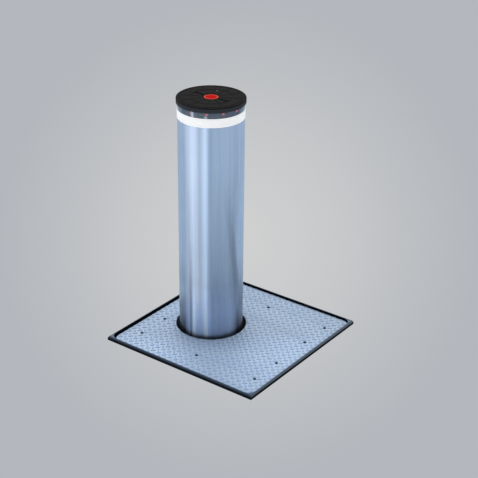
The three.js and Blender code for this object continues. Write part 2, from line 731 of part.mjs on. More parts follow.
function pressureHose() {
  const port = [PACK.x - BLOCK_HALF - 2 * GAP, PACK.y + PORT.y, SHELF_TOP + PORT.z]
  const drop = CROSS_X - 20
  const low = floor + 10
  const footFace = POST_X + RAM_SEAT.half + 2 * GAP
  return swept(through([
    port, [drop + 12, port[1], port[2]], [drop, port[1] - 8, port[2] - 30], [drop, 0, 700],
    [drop, -60, 120], [drop - 6, -62, 50], [20, -46, low + 2], [-20, -22, low], [footFace, -22, low],
  ]), 8, 28)
}
add(bollard, 'pressure_hose', pressureHose(), rubber)

// ---------- electrics ----------

const BOX = { x: [155, 235], y: [-236, -116], z: [SHELF_TOP + GAP, SHELF_TOP + 180], wall: 4 }
const boxCableZ = SHELF_TOP + 40
const lampExitY = -180
const supplyExitX = 195

function junctionBox() {
  const { x, y, z, wall } = BOX
  const hollow = block([x[0] + wall, x[1] + 1], [y[0] + wall, y[1] - wall], [z[0] + wall, z[1] - wall])
  return cut(block(x, y, z), [
    hollow,
    bar(5, [x[0] - 1, lampExitY, boxCableZ], [x[0] + 10, lampExitY, boxCableZ]),
    bar(9, [supplyExitX, y[0] - 1, boxCableZ], [supplyExitX, y[0] + 10, boxCableZ]),
  ])
}
add(bollard, 'junction_box', junctionBox(), boxGrey)
const lidX = [BOX.x[1] + GAP, BOX.x[1] + 7]
add(bollard, 'junction_box_lid', block(lidX, BOX.y, BOX.z), boxGrey)

function supplyCable() {
  const x = supplyExitX
  return swept(through([
    [x, BOX.y[0] + 8, boxCableZ], [x, BOX.y[0] - 24, boxCableZ - 3], [x, -293, 862],
    [x, -298, 700], [x, -298, 250], [x, -304, 150], [x, -330, 110], [x, -372, 104],
  ]), 8, 24)
}
add(bollard, 'supply_cable', supplyCable(), cableBlack)

const COIL = { radius: 47, wire: 4, from: 62, to: crownUnder - 25 }

function lampCable() {
  const drop = CROSS_X - 16
  return swept(through([
    [BOX.x[0] + 8, lampExitY, boxCableZ], [BOX.x[0] - 16, lampExitY, boxCableZ - 1],
    [drop + 16, lampExitY + 8, boxCableZ - 10], [drop, lampExitY + 18, 846], [drop, -140, 600],
    [drop, -110, 120], [40, -88, 34], [-20, -60, floor + 8], [-46, -34, 31],
    [-60, -14, 44], [POST_X + COIL.radius, -4, COIL.from - 7],
  ]), 4, 36)
}
add(bollard, 'lamp_cable', lampCable(), cableBlack)

// The space the coiled cable fills round the ram; it shortens as the post sinks.
const coilZ = [COIL.from, COIL.to]
add(post, 'coil_cable', ring(COIL.radius + COIL.wire, COIL.radius - COIL.wire, coilZ, MIDDLE), cableBlack)

export default bollard
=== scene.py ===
"""Looks for the rising bollard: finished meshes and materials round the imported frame.

Lengths are metres. Every place comes from the frame's boxes; MM turns a size in millimetres into metres.
"""

import json
import math

import bmesh
import bpy
import numpy as np
from mathutils import Matrix, Vector

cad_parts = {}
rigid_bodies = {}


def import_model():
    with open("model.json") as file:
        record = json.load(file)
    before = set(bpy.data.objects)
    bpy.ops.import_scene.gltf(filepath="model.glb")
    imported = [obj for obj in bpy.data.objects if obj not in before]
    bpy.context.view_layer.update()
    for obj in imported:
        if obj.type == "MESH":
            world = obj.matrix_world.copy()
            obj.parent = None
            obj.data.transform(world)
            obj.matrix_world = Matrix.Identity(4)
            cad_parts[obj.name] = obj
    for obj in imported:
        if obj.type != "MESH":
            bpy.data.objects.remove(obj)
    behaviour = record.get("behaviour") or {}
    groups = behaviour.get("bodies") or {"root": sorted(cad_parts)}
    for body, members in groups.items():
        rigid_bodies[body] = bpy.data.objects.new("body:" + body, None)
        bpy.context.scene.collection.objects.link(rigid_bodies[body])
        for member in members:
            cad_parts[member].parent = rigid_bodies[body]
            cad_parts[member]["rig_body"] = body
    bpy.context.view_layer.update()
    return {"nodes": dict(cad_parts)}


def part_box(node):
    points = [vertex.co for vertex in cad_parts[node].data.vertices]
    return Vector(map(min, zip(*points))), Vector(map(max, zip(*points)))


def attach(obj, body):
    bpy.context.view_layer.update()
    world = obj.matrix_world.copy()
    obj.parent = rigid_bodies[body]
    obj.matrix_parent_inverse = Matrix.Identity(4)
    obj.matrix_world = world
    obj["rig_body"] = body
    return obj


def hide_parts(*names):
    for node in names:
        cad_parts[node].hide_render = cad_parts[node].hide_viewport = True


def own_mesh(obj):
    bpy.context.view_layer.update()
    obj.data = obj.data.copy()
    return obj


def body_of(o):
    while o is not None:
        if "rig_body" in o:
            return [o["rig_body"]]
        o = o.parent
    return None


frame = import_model()

MM = 0.001
ROUND = 192  # segments of the post's large rounds
FINE = 64  # segments of hand-sized rounds

# ---------- places taken from the frame ----------


def centre(node):
    low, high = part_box(node)
    return (low + high) / 2


def radius(node):
    low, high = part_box(node)
    return (high.x - low.x) / 2


def heights(node):
    low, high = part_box(node)
    return low.z, high.z


def polar(middle, r, angle, z):
    """The point at a radius and an angle round a vertical axis."""
    return Vector((middle.x + r * math.cos(angle), middle.y + r * math.sin(angle), z))


post_axis = centre("post_sleeve")
pack_axis = centre("motor_housing")
street = heights("top_frame")[1]
plate_under, plate_top = heights("cover_plate")
screws = [centre(f"cover_screw_{i:02d}") for i in range(1, 11)]
sleeve_top = heights("post_sleeve")[1]
plug_r = radius("cap_plug")
cap_low, cap_top = heights("cap")
lens_high = heights("light_ring")[1]
crown_turn = math.radians(-2)  # the cap's grooves stand this far round from +X

# The camera: it looks at aim from this azimuth (0 is along +Y), elevation and distance.
PHOTO_AZIMUTH, PHOTO_ELEVATION, PHOTO_ROLL = math.radians(36.53), math.radians(26.05), math.radians(0.62)
PHOTO_DISTANCE, PHOTO_LENS = 5.417, 92.5
aim = Vector((-0.137, 0.227, street + 0.300))
flat = math.cos(PHOTO_ELEVATION)
back = Vector((math.sin(PHOTO_AZIMUTH) * flat, -math.cos(PHOTO_AZIMUTH) * flat, math.sin(PHOTO_ELEVATION)))
eye = aim + back * PHOTO_DISTANCE
post_azimuth = math.atan2(eye.x - post_axis.x, post_axis.y - eye.y)  # the camera, seen from the post

# ---------- shader building ----------


class Shader:
    """One material's node tree. An input given as a socket is linked, any other value is set."""

    def __init__(self, name, tree=None):
        self.material = None
        if tree is None:
            self.material = bpy.data.materials.new(name)
            self.material.use_nodes = True
            tree = self.material.node_tree
        self.tree = tree
        self.tree.nodes.clear()

    def node(self, kind, settings=None, **inputs):
        made = self.tree.nodes.new("ShaderNode" + kind)
        for key, value in (settings or {}).items():
            setattr(made, key, value)
        for key, value in inputs.items():
            socket = made.inputs[int(key[1:])] if key[1:].isdigit() else made.inputs[key.replace("_", " ")]
            self.give(socket, value)
        return made

    def give(self, socket, value):
        if isinstance(value, bpy.types.NodeSocket):
            self.tree.links.new(value, socket)
        elif isinstance(value, (tuple, list)) and socket.type == "RGBA" and len(value) == 3:
            socket.default_value = (*value, 1)
        else:
            socket.default_value = value

    def place(self, scale=(1, 1, 1)):
        """Object coordinates in metres, stretched by scale."""
        coords = self.node("TexCoord").outputs["Object"]
        return self.node("Mapping", Vector=coords, Scale=scale).outputs[0]

    def noise(self, scale, detail=3, stretch=(1, 1, 1), rough=0.55):
        return self.node(
            "TexNoise", Vector=self.place(stretch), Scale=scale, Detail=detail, Roughness=rough
        ).outputs["Fac"]

    def ramp(self, factor, *stops, smooth=False):
        """A ColorRamp. Each stop is (position, grey) or (position, (r, g, b))."""
        made = self.node("ValToRGB", Fac=factor)
        ramp = made.color_ramp
        ramp.interpolation = "EASE" if smooth else "LINEAR"
        while len(ramp.elements) < len(stops):
            ramp.elements.new(0.5)
        for element, (position, colour) in zip(ramp.elements, stops):
            element.position = position
            grey = (colour,) * 3 if isinstance(colour, (int, float)) else colour
            element.color = (*grey, 1)
        return made.outputs["Color"]

    def mix(self, factor, a, b, blend="MIX"):
        made = self.node("Mix", {"data_type": "RGBA", "blend_type": blend, "clamp_factor": False})
        self.give(made.inputs["Factor"], factor)
        colours = [socket for socket in made.inputs if socket.type == "RGBA"]
        self.give(colours[0], a)
        self.give(colours[1], b)
        return [socket for socket in made.outputs if socket.type == "RGBA"][0]

    def math(self, operation, a, b=0.0):
        return self.node("Math", {"operation": operation}, _0=a, _1=b).outputs[0]

    def times(self, a, b):
        return self.math("MULTIPLY", a, b)

    def most(self, a, b):
        return self.math("MAXIMUM", a, b)

    def vector(self, operation, a, b, out=0):
        return self.node("VectorMath", {"operation": operation}, _0=a, _1=b).outputs[out]

    def dot(self, a, b):
        return self.vector("DOT_PRODUCT", a, b, "Value")

    def distance(self, a, b):
        return self.vector("DISTANCE", a, b, "Value")

    def parts(self, vector):
        return self.node("SeparateXYZ", Vector=vector).outputs

    def height(self):
        return self.parts(self.place())[2]

    def normal(self):
        return self.node("NewGeometry").outputs["Normal"]

    def facing(self, blend=0.5):
        """0 where the surface faces the eye, 1 at its outline."""
        return self.node("LayerWeight", Blend=blend).outputs["Facing"]

    def net(self, scale):
        """The distance to the edge of the nearest cell of a fine irregular net."""
        cells = self.node("TexVoronoi", {"feature": "DISTANCE_TO_EDGE"}, Vector=self.place(), Scale=scale)
        return cells.outputs[0]

    def tint(self, a, b):
        return self.mix(1.0, a, b, "MULTIPLY")

    def level(self, value, low, high, to_low=0.0, to_high=1.0):
        """value carried from low..high to to_low..to_high, held at the ends."""
        return self.node(
            "MapRange", Value=value, From_Min=low, From_Max=high, To_Min=to_low, To_Max=to_high
        ).outputs[0]

    def spread(self, noise, low, high):
        """A noise's usual range carried to low..high."""
        return self.level(noise, 0.3, 0.7, low, high)

    def near(self, value, at, inside, outside):
        """1 where value is within inside of at, 0 beyond outside of it."""
        return self.level(self.math("ABSOLUTE", self.math("SUBTRACT", value, at)), outside, inside)

    def bump(self, height, strength=0.2, depth=0.1 * MM, normal=None):
        made = self.node("Bump", Height=height, Strength=strength, Distance=depth)
        if normal is not None:
            self.give(made.inputs["Normal"], normal)
        return made.outputs[0]

    def edges(self, width=1.5 * MM, low=0.02, high=0.35):
        """1 on convex and concave edges, 0 on the flats."""
        rounded = self.node("Bevel", {"samples": 4}, Radius=width).outputs[0]
        return self.level(self.dot(rounded, self.normal()), 1 - low, 1 - high)

    def from_camera(self, vector):
        """The vector's parts once the camera's direction is turned to -Y, and its angle from there."""
        about_z = {"rotation_type": "Z_AXIS"}
        part = self.parts(self.node("VectorRotate", about_z, Vector=vector, Angle=-post_azimuth).outputs[0])
        return part, self.math("ARCTAN2", part[0], self.times(part[1], -1.0))

    def around_post(self):
        """Degrees round the post from the camera's direction, negative on the camera's left."""
        from_axis = self.vector("SUBTRACT", self.place(), tuple(post_axis))
        return self.math("DEGREES", self.from_camera(from_axis)[1])

    def surface(self, **inputs):
        return self.end(self.node("BsdfPrincipled", **inputs))

    def end(self, made, kind="OutputMaterial"):
        self.tree.links.new(made.outputs[0], self.node(kind).inputs["Surface"])
        return self.material


def scaled(colour, factor):
    return tuple(c * factor for c in colour)


# ---------- materials ----------


def brushed_stainless():
    """Satin sleeve: fine grain round the post and a slight blue cast, with painted light: painted shade up
    its height, on one side and at the foot, painted highlights on its outlines and in two upright lines,
    and a painted dark reflection wedge and streak.
    """
    s = Shader("brushed_stainless")
    grain = s.noise(900, 4, (1, 1, 0.012))
    broad = s.noise(100, 3, (1, 1, 0.02))
    tone = s.ramp(grain, (0.3, (0.59, 0.70, 0.89)), (0.7, (0.71, 0.81, 0.99)))
    tone = s.mix(s.level(broad, 0.42, 0.60, 0, 0.42), tone, (0.52, 0.64, 0.87))
    height = s.height()
    up = s.level(height, plate_top, sleeve_top)
    # Painted shade and light up the height: darker a quarter of the way up, lighter towards the top and at
    # the foot.
    shade = s.ramp(
        up, (0.0, 1.0), (0.11, 1.0), (0.17, 0.86), (0.25, 0.70), (0.40, 0.72), (0.55, 0.80), (0.8, 0.96),
        (1.0, 1.0),
    )
    rim = s.facing()
    # Painted highlights along both outlines, strongest at mid-height.
    glow = s.ramp(up, (0.16, 0.0), (0.26, 0.12), (0.38, 0.38), (0.55, 0.28), (0.70, 0.12), (0.85, 0.0))
    painted_highlight = s.times(s.level(rim, 0.34, 0.48), glow)
    turn = s.around_post()
    # One side is painted darker, as painted shade, up to an edge that leans back as it rises.
    edge = s.level(up, 0.24, 0.66, 58, 35)
    painted_shade_side = s.times(s.level(turn, -3, 1), s.level(s.math("SUBTRACT", turn, edge), 3, -2))
    side_shade = s.ramp(
        up, (0.0, 0.74), (0.10, 0.74), (0.17, 0.80), (0.26, 0.88), (0.6, 0.94), (0.8, 0.95), (1.0, 1.0)
    )
    shade = s.tint(shade, s.mix(painted_shade_side, (1, 1, 1), side_shade))
    # Painted dark reflections: a wedge beside that edge, and an upright streak on the camera's left, both
    # darker towards the foot.
    painted_dark_reflection = s.times(s.near(turn, s.math("SUBTRACT", edge, 8), 3, 9), s.level(up, 0.74, 0.35, 0, 0.22))
    painted_dark_streak = s.times(s.near(turn, -39, 1.5, 5), s.level(up, 0.46, 0.10, 0, 0.50))
    # Two upright painted highlight lines on the camera's left, strongest at the foot.
    painted_highlight_lines = s.most(s.near(turn, -32, 1.5, 5), s.near(turn, -9.5, 1.2, 4.5))
    highlight_line_strength = s.ramp(up, (0.0, 0.85), (0.09, 0.42), (0.155, 0.20), (0.25, 0.07), (1.0, 0.07))
    painted_highlight = s.math("ADD", painted_highlight, s.times(painted_highlight_lines, highlight_line_strength))
    # Painted contact shade at the foot, along both outlines and on the right side.
    painted_contact_shade = s.times(s.level(rim, 0.36, 0.55), s.level(up, 0.20, 0.04, 0, 0.85))
    painted_foot_shade = s.times(s.level(turn, 50, 62), s.level(up, 0.26, 0.13, 0, 0.6))
    painted_contact_shade = s.most(painted_contact_shade, painted_foot_shade)
    unshaded = s.math("SUBTRACT", 1.0, s.most(s.math("ADD", painted_dark_reflection, painted_dark_streak), painted_contact_shade))
    bright = s.times(unshaded, s.math("ADD", painted_highlight, 1.0))
    tone = s.mix(bright, (0, 0, 0), s.tint(tone, shade))
    tangent = s.node("Tangent", {"direction_type": "RADIAL", "axis": "Z"}).outputs[0]
    return s.surface(
        Base_Color=tone, Metallic=1.0, Roughness=s.spread(grain, 0.20, 0.28),
        Anisotropic=1.0, Anisotropic_Rotation=0.25, Tangent=tangent,
    )


def tread_steel():
    """Galvanised tread plate: pale blue-grey, faintly spangled, with painted shade on the lug tops and on
    the lug flanks facing the camera, and painted light across the cover.
    """
    s = Shader("tread_steel")
    spangle = s.node("TexVoronoi", Vector=s.place(), Scale=90).outputs["Color"]
    cloud = s.noise(14, 4)
    fine = s.noise(420, 3)
    tone = s.mix(0.08, (0.79, 0.96, 1.25), spangle, "OVERLAY")
    tone = s.mix(s.level(cloud, 0.35, 0.7, 0, 0.4), tone, (0.67, 0.86, 1.15))
    height = s.height()
    # The lug tops and the lug flanks that face the camera are painted darker, as painted shade.
    painted_shade_flank = s.dot(s.normal(), (0.6, -0.8, 0))
    painted_light_tone = s.level(height, plate_top + 0.1 * MM, plate_top + 1.0 * MM, 0, 0.36)
    tone = s.mix(s.most(painted_light_tone, s.level(painted_shade_flank, 0.05, 0.28, 0, 0.90)), tone, (0.42, 0.60, 0.81))
    # The cover is painted lighter and darker along the direction towards the camera, as painted light and
    # shade.
    nearer = s.level(s.dot(s.place(), (back.x, back.y, 0)), -0.25, 0.42)
    painted_light_gradient = s.ramp(
        nearer, (0.0, (0.75, 0.76, 0.76)), (0.4, (0.77, 0.78, 0.775)),
        (0.65, (0.90, 0.935, 1.0)), (1.0, (0.85, 0.87, 0.91)),
    )
    tone = s.tint(tone, painted_light_gradient)
    return s.surface(
        Base_Color=tone, Metallic=0.3, Roughness=s.spread(fine, 0.48, 0.60),
        Normal=s.bump(fine, 0.05), Specular_IOR_Level=0.3,
    )


def frame_paint():
    """Black frame: matt upright sides, and a lip and bevel painted lighter, with a painted dull sheen that
    is weaker where they face -Y.
    """
    s = Shader("frame_paint")
    grain = s.noise(300, 4)
    patches = s.noise(22, 4)
    facing = s.parts(s.normal())
    height = s.height()
    # The lip and bevel are painted lighter than the upright sides and paler again near the top, as painted
    # light; their sheen is painted weaker where they face -Y, as painted shade.
    lip = s.times(s.level(facing[2], 0.3, 0.6), s.level(height, street - 8 * MM, street - 7 * MM))
    sheen = s.times(lip, s.level(facing[1], -0.5, -0.2, 0.15, 0.95))
    painted_light_tone = s.ramp(patches, (0.3, (0.010, 0.015, 0.022)), (0.7, (0.018, 0.026, 0.036)))
    painted_light_tone = s.mix(s.level(height, street - 6 * MM, street - 1 * MM), painted_light_tone, (0.075, 0.115, 0.19))
    tone = s.mix(lip, (0.005, 0.007, 0.011), painted_light_tone)
    return s.surface(
        Base_Color=tone, Specular_IOR_Level=s.math("ADD", sheen, 0.05),
        Specular_Tint=(0.66, 0.83, 1.0),
        Roughness=s.mix(lip, (0.7,) * 3, s.ramp(grain, (0.3, 0.30), (0.7, 0.42))),
        Normal=s.bump(grain, 0.12),
    )


def cap_coat():
    """Matt black cap: fine grain, dust in the grooves, a side painted greyer as painted light, and one pale
    scuff.
    """
    s = Shader("cap_coat")
    grain = s.noise(850, 3)
    dust = s.noise(40, 5)
    height = s.height()
    # The side is painted greyer than the top, standing in for the light it catches.
    side = s.level(height, cap_top - 4.5 * MM, cap_top - 3.2 * MM, 1, 0)
    tone = s.mix(s.level(dust, 0.4, 0.75, 0, 0.5), (0.010, 0.010, 0.010), (0.017, 0.017, 0.016))
    tone = s.mix(side, tone, (0.046, 0.052, 0.062))
    scuff_at = polar(post_axis, 75 * MM, math.radians(109), cap_top)
    scuff = s.level(s.distance(s.place(), tuple(scuff_at)), 4.2 * MM, 1.5 * MM, 0, 0.8)
    tone = s.mix(scuff, tone, (0.42, 0.43, 0.43))
    return s.surface(
        Base_Color=tone, Roughness=s.spread(grain, 0.62, 0.8),
        Normal=s.bump(grain, 0.35, 0.2 * MM), Specular_IOR_Level=0.08,
    )


def moulded(name, colour, rough=0.45, grain_scale=500, sheen=0.0):
    """Moulded plastic with a faint grain and slightly uneven colour."""
    s = Shader(name)
    grain = s.noise(grain_scale, 2)
    cloud = s.noise(30, 3)
    darker = scaled(colour, 0.86)
    tone = s.mix(s.level(cloud, 0.35, 0.7, 0, 0.7), colour, darker)
    return s.surface(
        Base_Color=tone, Roughness=s.spread(grain, rough - 0.05, rough + 0.05),
        Normal=s.bump(grain, 0.1), Coat_Weight=sheen, Specular_IOR_Level=0.25,
    )


def reflective_tape():
    """White film: a close honeycomb of beads under a clear face, with a painted glow."""
    s = Shader("reflective_tape")
    cells = s.net(330)
    net = s.level(cells, 0.02, 0.09)
    cloud = s.noise(60, 4)
    tone = s.mix(net, (0.80, 0.81, 0.82), (0.93, 0.94, 0.94))
    tone = s.mix(s.level(cloud, 0.45, 0.75, 0, 0.25), tone, (0.80, 0.82, 0.84))
    # The film's emission is painted light; the film is no lamp.
    return s.surface(
        Base_Color=tone, Roughness=0.35, Coat_Weight=0.15, Coat_Roughness=0.2,
        Normal=s.bump(net, 0.08, 0.05 * MM), Emission_Color=tone, Emission_Strength=0.43,
    )


def smoked_lens():
    """Smoked polycarbonate ring that lets the lamps behind it show, with two pale painted highlight
    patches.
    """
    s = Shader("smoked_lens")
    flow = s.noise(40, 3, (1, 1, 0.4))
    tone = s.ramp(flow, (0.35, (0.125, 0.18, 0.26)), (0.7, (0.17, 0.235, 0.34)))
    turn = s.around_post()
    height = s.height()
    lower = s.level(height, lens_high - 13 * MM, lens_high - 15 * MM, 0, 0.8)
    # Two pale patches, at set angles round the post, are painted highlights.
    painted_highlight_patches = s.most(s.near(turn, -33, 1.6, 4), s.times(s.near(turn, -9, 1.2, 3.6), lower))
    rim = s.facing()
    cover = s.most(s.level(painted_highlight_patches, 0, 1, 0.55, 0.95), s.level(rim, 0.48, 0.56, 0.55, 1.0))
    tone = s.mix(painted_highlight_patches, tone, (0.62, 0.71, 0.92))
    return s.surface(
        Base_Color=tone, Roughness=0.08, Alpha=cover, Coat_Weight=1.0, Coat_Roughness=0.04,
        Specular_IOR_Level=0.6, Normal=s.bump(flow, 0.02),
    )


def red_reflector():
    """Red reflex button: deep red inside, a rim painted paler as a painted highlight, a net of tiny prisms,
    and a faint painted glow.
    """
    s = Shader("red_reflector")
    level_place = s.vector("MULTIPLY", s.place(), (1, 1, 0))
    away = s.distance(level_place, (post_axis.x, post_axis.y, 0))
    rim = s.level(away, plug_r - 8 * MM, plug_r - 5 * MM)
    prisms = s.net(400)
    net = s.level(prisms, 0.0, 0.1)
    inner = s.mix(net, (0.50, 0.014, 0.014), (0.66, 0.020, 0.018))
    # The rim is painted paler, as a painted highlight.
    tone = s.mix(rim, inner, (0.80, 0.12, 0.075))
    # The faint emission is painted light; the button is no lamp.
    return s.surface(
        Base_Color=tone, Roughness=0.4, Normal=s.bump(net, 0.15), Specular_IOR_Level=0.0,
        Emission_Color=tone, Emission_Strength=0.08,
    )


def lamp(name, colour, strength):
    s = Shader(name)
    facing = s.facing(0.35)
    tone = s.mix(facing, colour, scaled(colour, 0.45))
    return s.surface(Base_Color=tone, Roughness=0.2, Emission_Color=tone, Emission_Strength=strength)


# ---------- mesh building ----------


def piece(name, verts, faces, material, body, slot, replaces=(), smooth=40):
    """A mesh piece that rides on a body, smooth-shaded up to the given angle in degrees."""
    mesh = bpy.data.meshes.new(name)
    mesh.from_pydata([tuple(v) for v in verts], [], [tuple(f) for f in faces])
    obj = bpy.data.objects.new(name, mesh)
    return finish_piece(obj, material, body, replaces, smooth)


def show(obj):
    bpy.context.scene.collection.objects.link(obj)
    return obj


def finish_piece(obj, material, body, replaces=(), smooth=40):
    mesh = show(obj).data
    if len(mesh.materials) == 0:
        mesh.materials.append(material)
    mesh.validate()
    mend = bmesh.new()
    mend.from_mesh(mesh)
    bmesh.ops.recalc_face_normals(mend, faces=mend.faces)
    mend.to_mesh(mesh)
    mend.free()
    mesh.polygons.foreach_set("use_smooth", [True] * len(mesh.polygons))
    mesh.set_sharp_from_angle(angle=math.radians(smooth))
    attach(obj, body)
    if replaces:
        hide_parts(*replaces)
    return obj


def turn(profile, segments=ROUND, at=(0, 0)):
    """Vertices and faces of a profile of (radius, z) turned about a vertical axis. The profile is
    a loop, or starts and ends on the axis."""
    on_axis = profile[0][0] == 0
    verts, rows = [], []
    for r, z in profile:
        if r == 0:
            rows.append([len(verts)] * segments)
            verts.append((at[0], at[1], z))
            continue
        rows.append(range(len(verts), len(verts) + segments))
        for i in range(segments):
            angle = 2 * math.pi * i / segments
            verts.append((at[0] + r * math.cos(angle), at[1] + r * math.sin(angle), z))
    pairs = list(zip(rows, rows[1:])) + ([] if on_axis else [(rows[-1], rows[0])])
    faces = []
    for low, high in pairs:
        for i in range(segments):
            j = (i + 1) % segments
            corners = [low[i], low[j], high[j], high[i]]
            faces.append([c for k, c in enumerate(corners) if c != corners[k - 1]])
    return verts, faces


def rounded_profile(profile, size, steps=3):
    """The profile with each corner cut by an arc of about the given size."""
    made = []
    count = len(profile)
    closed = profile[0][0] != 0
    for i, point in enumerate(profile):
        if not closed and i in (0, count - 1):
            made.append(point)
            continue
        here, before, after = (Vector(p) for p in (point, profile[i - 1], profile[(i + 1) % count]))
        reach = min(size, (before - here).length * 0.45, (after - here).length * 0.45)
        start = here + (before - here).normalized() * reach
        end = here + (after - here).normalized() * reach
        for k in range(steps + 1):
            t = k / steps
            made.append(tuple(start * (1 - t) ** 2 + here * 2 * t * (1 - t) + end * t ** 2))
    return made


def turned(name, profile, material, body, slot, replaces=(), edge=0.6 * MM, segments=ROUND, at=None):
    at = at or (post_axis.x, post_axis.y)
    verts, faces = turn(rounded_profile(profile, edge), segments, at)
    return piece(name, verts, faces, material, body, slot, replaces)


def square_loop(half, corner, z, steps=10):
    """Points of a square with rounded corners, the same number for every loop."""
    points = []
    near = half - corner
    for quarter in range(4):
        side = [(near, near), (-near, near), (-near, -near), (near, -near)][quarter]
        for k in range(steps + 1):
            angle = math.pi / 2 * (quarter + k / steps)
            points.append((side[0] + corner * math.cos(angle), side[1] + corner * math.sin(angle), z))
    return points


def skin(loops, closed=True):
    """Quads between neighbouring loops of points, and back to the first if closed."""
    count = len(loops[0])
    verts = [point for loop in loops for point in loop]
    faces = []
    for i in range(len(loops) if closed else len(loops) - 1):
        a, b = i * count, ((i + 1) % len(loops)) * count
        for k in range(count):
            j = (k + 1) % count
            faces.append((a + k, a + j, b + j, b + k))
    return verts, faces


def capped(loops):
    """Quads between neighbouring loops, and one face across each end."""
    verts, faces = skin(loops, closed=False)
    count = len(loops[0])
    ends = [tuple(range(count - 1, -1, -1)), tuple(range(len(verts) - count, len(verts)))]
    return verts, faces + ends


def join(verts, faces, more_verts, more_faces):
    """Adds one shape to a growing mesh."""
    start = len(verts)
    verts += more_verts
    faces += [tuple(start + i for i in face) for face in more_faces]


def rings(rows, around, at, shape=None, start=0):
    """Loops round a vertical axis from rows of (radius, z) or (radius, z, shaped). On a shaped row,
    shape(radius, z, angle) gives the radius and z at each angle, counted from the start angle."""
    loops = []
    for r, z, *shaped in rows:
        loop = []
        for i in range(around):
            angle = 2 * math.pi * i / around
            reach, level = shape(r, z, angle) if shaped and shaped[0] else (r, z)
            loop.append(tuple(polar(at, reach, angle + start, level)))
        loops.append(loop)
    return loops


def arc(r, z, size, count, first=0):
    """Rows (radius, z) of a rounded upper edge, from its side at radius r to its top at height z."""
    turns = (k / count * math.pi / 2 for k in range(first, count + 1))
    return [(r - size + size * math.cos(t), z - size + size * math.sin(t)) for t in turns]


def welded(mesh, reach):
    weld = bmesh.new()
    weld.from_mesh(mesh)
    bmesh.ops.remove_doubles(weld, verts=weld.verts, dist=reach)
    weld.to_mesh(mesh)
    weld.free()


def bevelled(obj, width, segments=2, angle=32):
    """Adds a bevel to the sharp edges."""
    bevel = obj.modifiers.new("bevel", "BEVEL")
    bevel.width = width
    bevel.segments = segments
    bevel.limit_method = "ANGLE"
    bevel.angle_limit = math.radians(angle)
    bevel.harden_normals = True
    return obj


def flat_plate(name, outline, holes, low, high, edge):
    """A mesh plate from outlines, each a list of (x, y), made with a filled curve."""
    curve = bpy.data.curves.new(name, "CURVE")
    curve.dimensions = "2D"
    curve.fill_mode = "BOTH"
    curve.extrude = (high - low) / 2 - edge
    curve.bevel_depth = edge
    curve.bevel_resolution = 2
    curve.offset = -edge
    for points in [outline, *holes]:
        spline = curve.splines.new("POLY")
        spline.points.add(len(points) - 1)
        for target, (x, y) in zip(spline.points, points):
            target.co = (x, y, 0, 1)
        spline.use_cyclic_u = True
    maker = show(bpy.data.objects.new(name + "_curve", curve))
    bpy.context.view_layer.update()
    mesh = bpy.data.meshes.new_from_object(maker.evaluated_get(bpy.context.evaluated_depsgraph_get()))
    bpy.data.objects.remove(maker)
    welded(mesh, 0.001 * MM)
    mesh.transform(Matrix.Translation((0, 0, (low + high) / 2)))
    mesh.materials.clear()
    return bpy.data.objects.new(name, mesh)


def circle(cx, cy, r, count):
    return [(cx + r * math.cos(2 * math.pi * i / count), cy + r * math.sin(2 * math.pi * i / count))
            for i in range(count)]


# ---------- street frame ----------

outer = radius("top_frame")
ledge_top = heights("cover_gasket")[0] - 0.3 * MM
frame_low = heights("top_frame")[0]


def street_frame():
    """Angle frame: bevelled outside, rounded inside corners, and a ledge that carries the cover."""
    bevel_in, bevel_down, lip = 6 * MM, 7 * MM, 3 * MM
    wall = outer - bevel_in - lip
    ledge, ledge_under, skirt = 340 * MM, ledge_top - 6 * MM, outer - 5 * MM
    sharp, inner = 0.8 * MM, 35 * MM
    loops = [square_loop(*row) for row in (
        (outer, sharp, frame_low), (outer, sharp, street - bevel_down), (outer - bevel_in, sharp, street),
        (wall, inner, street), (wall, inner, ledge_top), (ledge, sharp, ledge_top),
        (ledge, sharp, ledge_under), (skirt, sharp, ledge_under), (skirt, sharp, frame_low),
    )]
    obj = piece("street_frame", *skin(loops), frame_paint(), "casing", "black_steel", ["top_frame"])
    bevelled(obj, 0.5 * MM)


street_frame()

# ---------- tread plate ----------

LUG = {"pitch": 30.5 * MM, "length": 26 * MM, "width": 13 * MM, "height": 2.1 * MM}
plate_half = radius("cover_plate")
plate_x = centre("cover_plate").x
hole_r = 153 * MM


def lug_shape(stations=9):
    """One lens-shaped lug along X: its points and faces."""
    rows = []
    for i in range(stations):
        s = -1 + 2 * i / (stations - 1)
        half = LUG["width"] / 2 * (1 - s * s) ** 0.8 + 0.15 * MM
        top = LUG["height"] * (1 - s ** 4) ** 0.5
        x = s * LUG["length"] / 2
        across = ((-1, 0), (-0.62, 0.78), (0, 1), (0.62, 0.78), (1, 0))
        rows.append([(x, half * a, top * h) for a, h in across])
    verts, faces = capped(rows)
    return np.array(verts), faces


def lug_places():
    """(x, y, angle) of every lug from the plate's centre: two crossing sets on a square grid."""
    places = []
    reach = int(plate_half / LUG["pitch"]) + 1
    for i in range(-2 * reach, 2 * reach + 1):
        for j in range(-2 * reach, 2 * reach + 1):
            if (i + j) % 2 == 0:
                x, y = i * LUG["pitch"] / 2 - 13 * MM, j * LUG["pitch"] / 2 - 2.5 * MM
                places.append((x, y, math.pi / 4 if i % 2 == 0 else 3 * math.pi / 4))
    return places


def clear_of_screws(x, y):
    return all((x - s.x) ** 2 + (y - s.y) ** 2 > (13 * MM) ** 2 for s in screws)


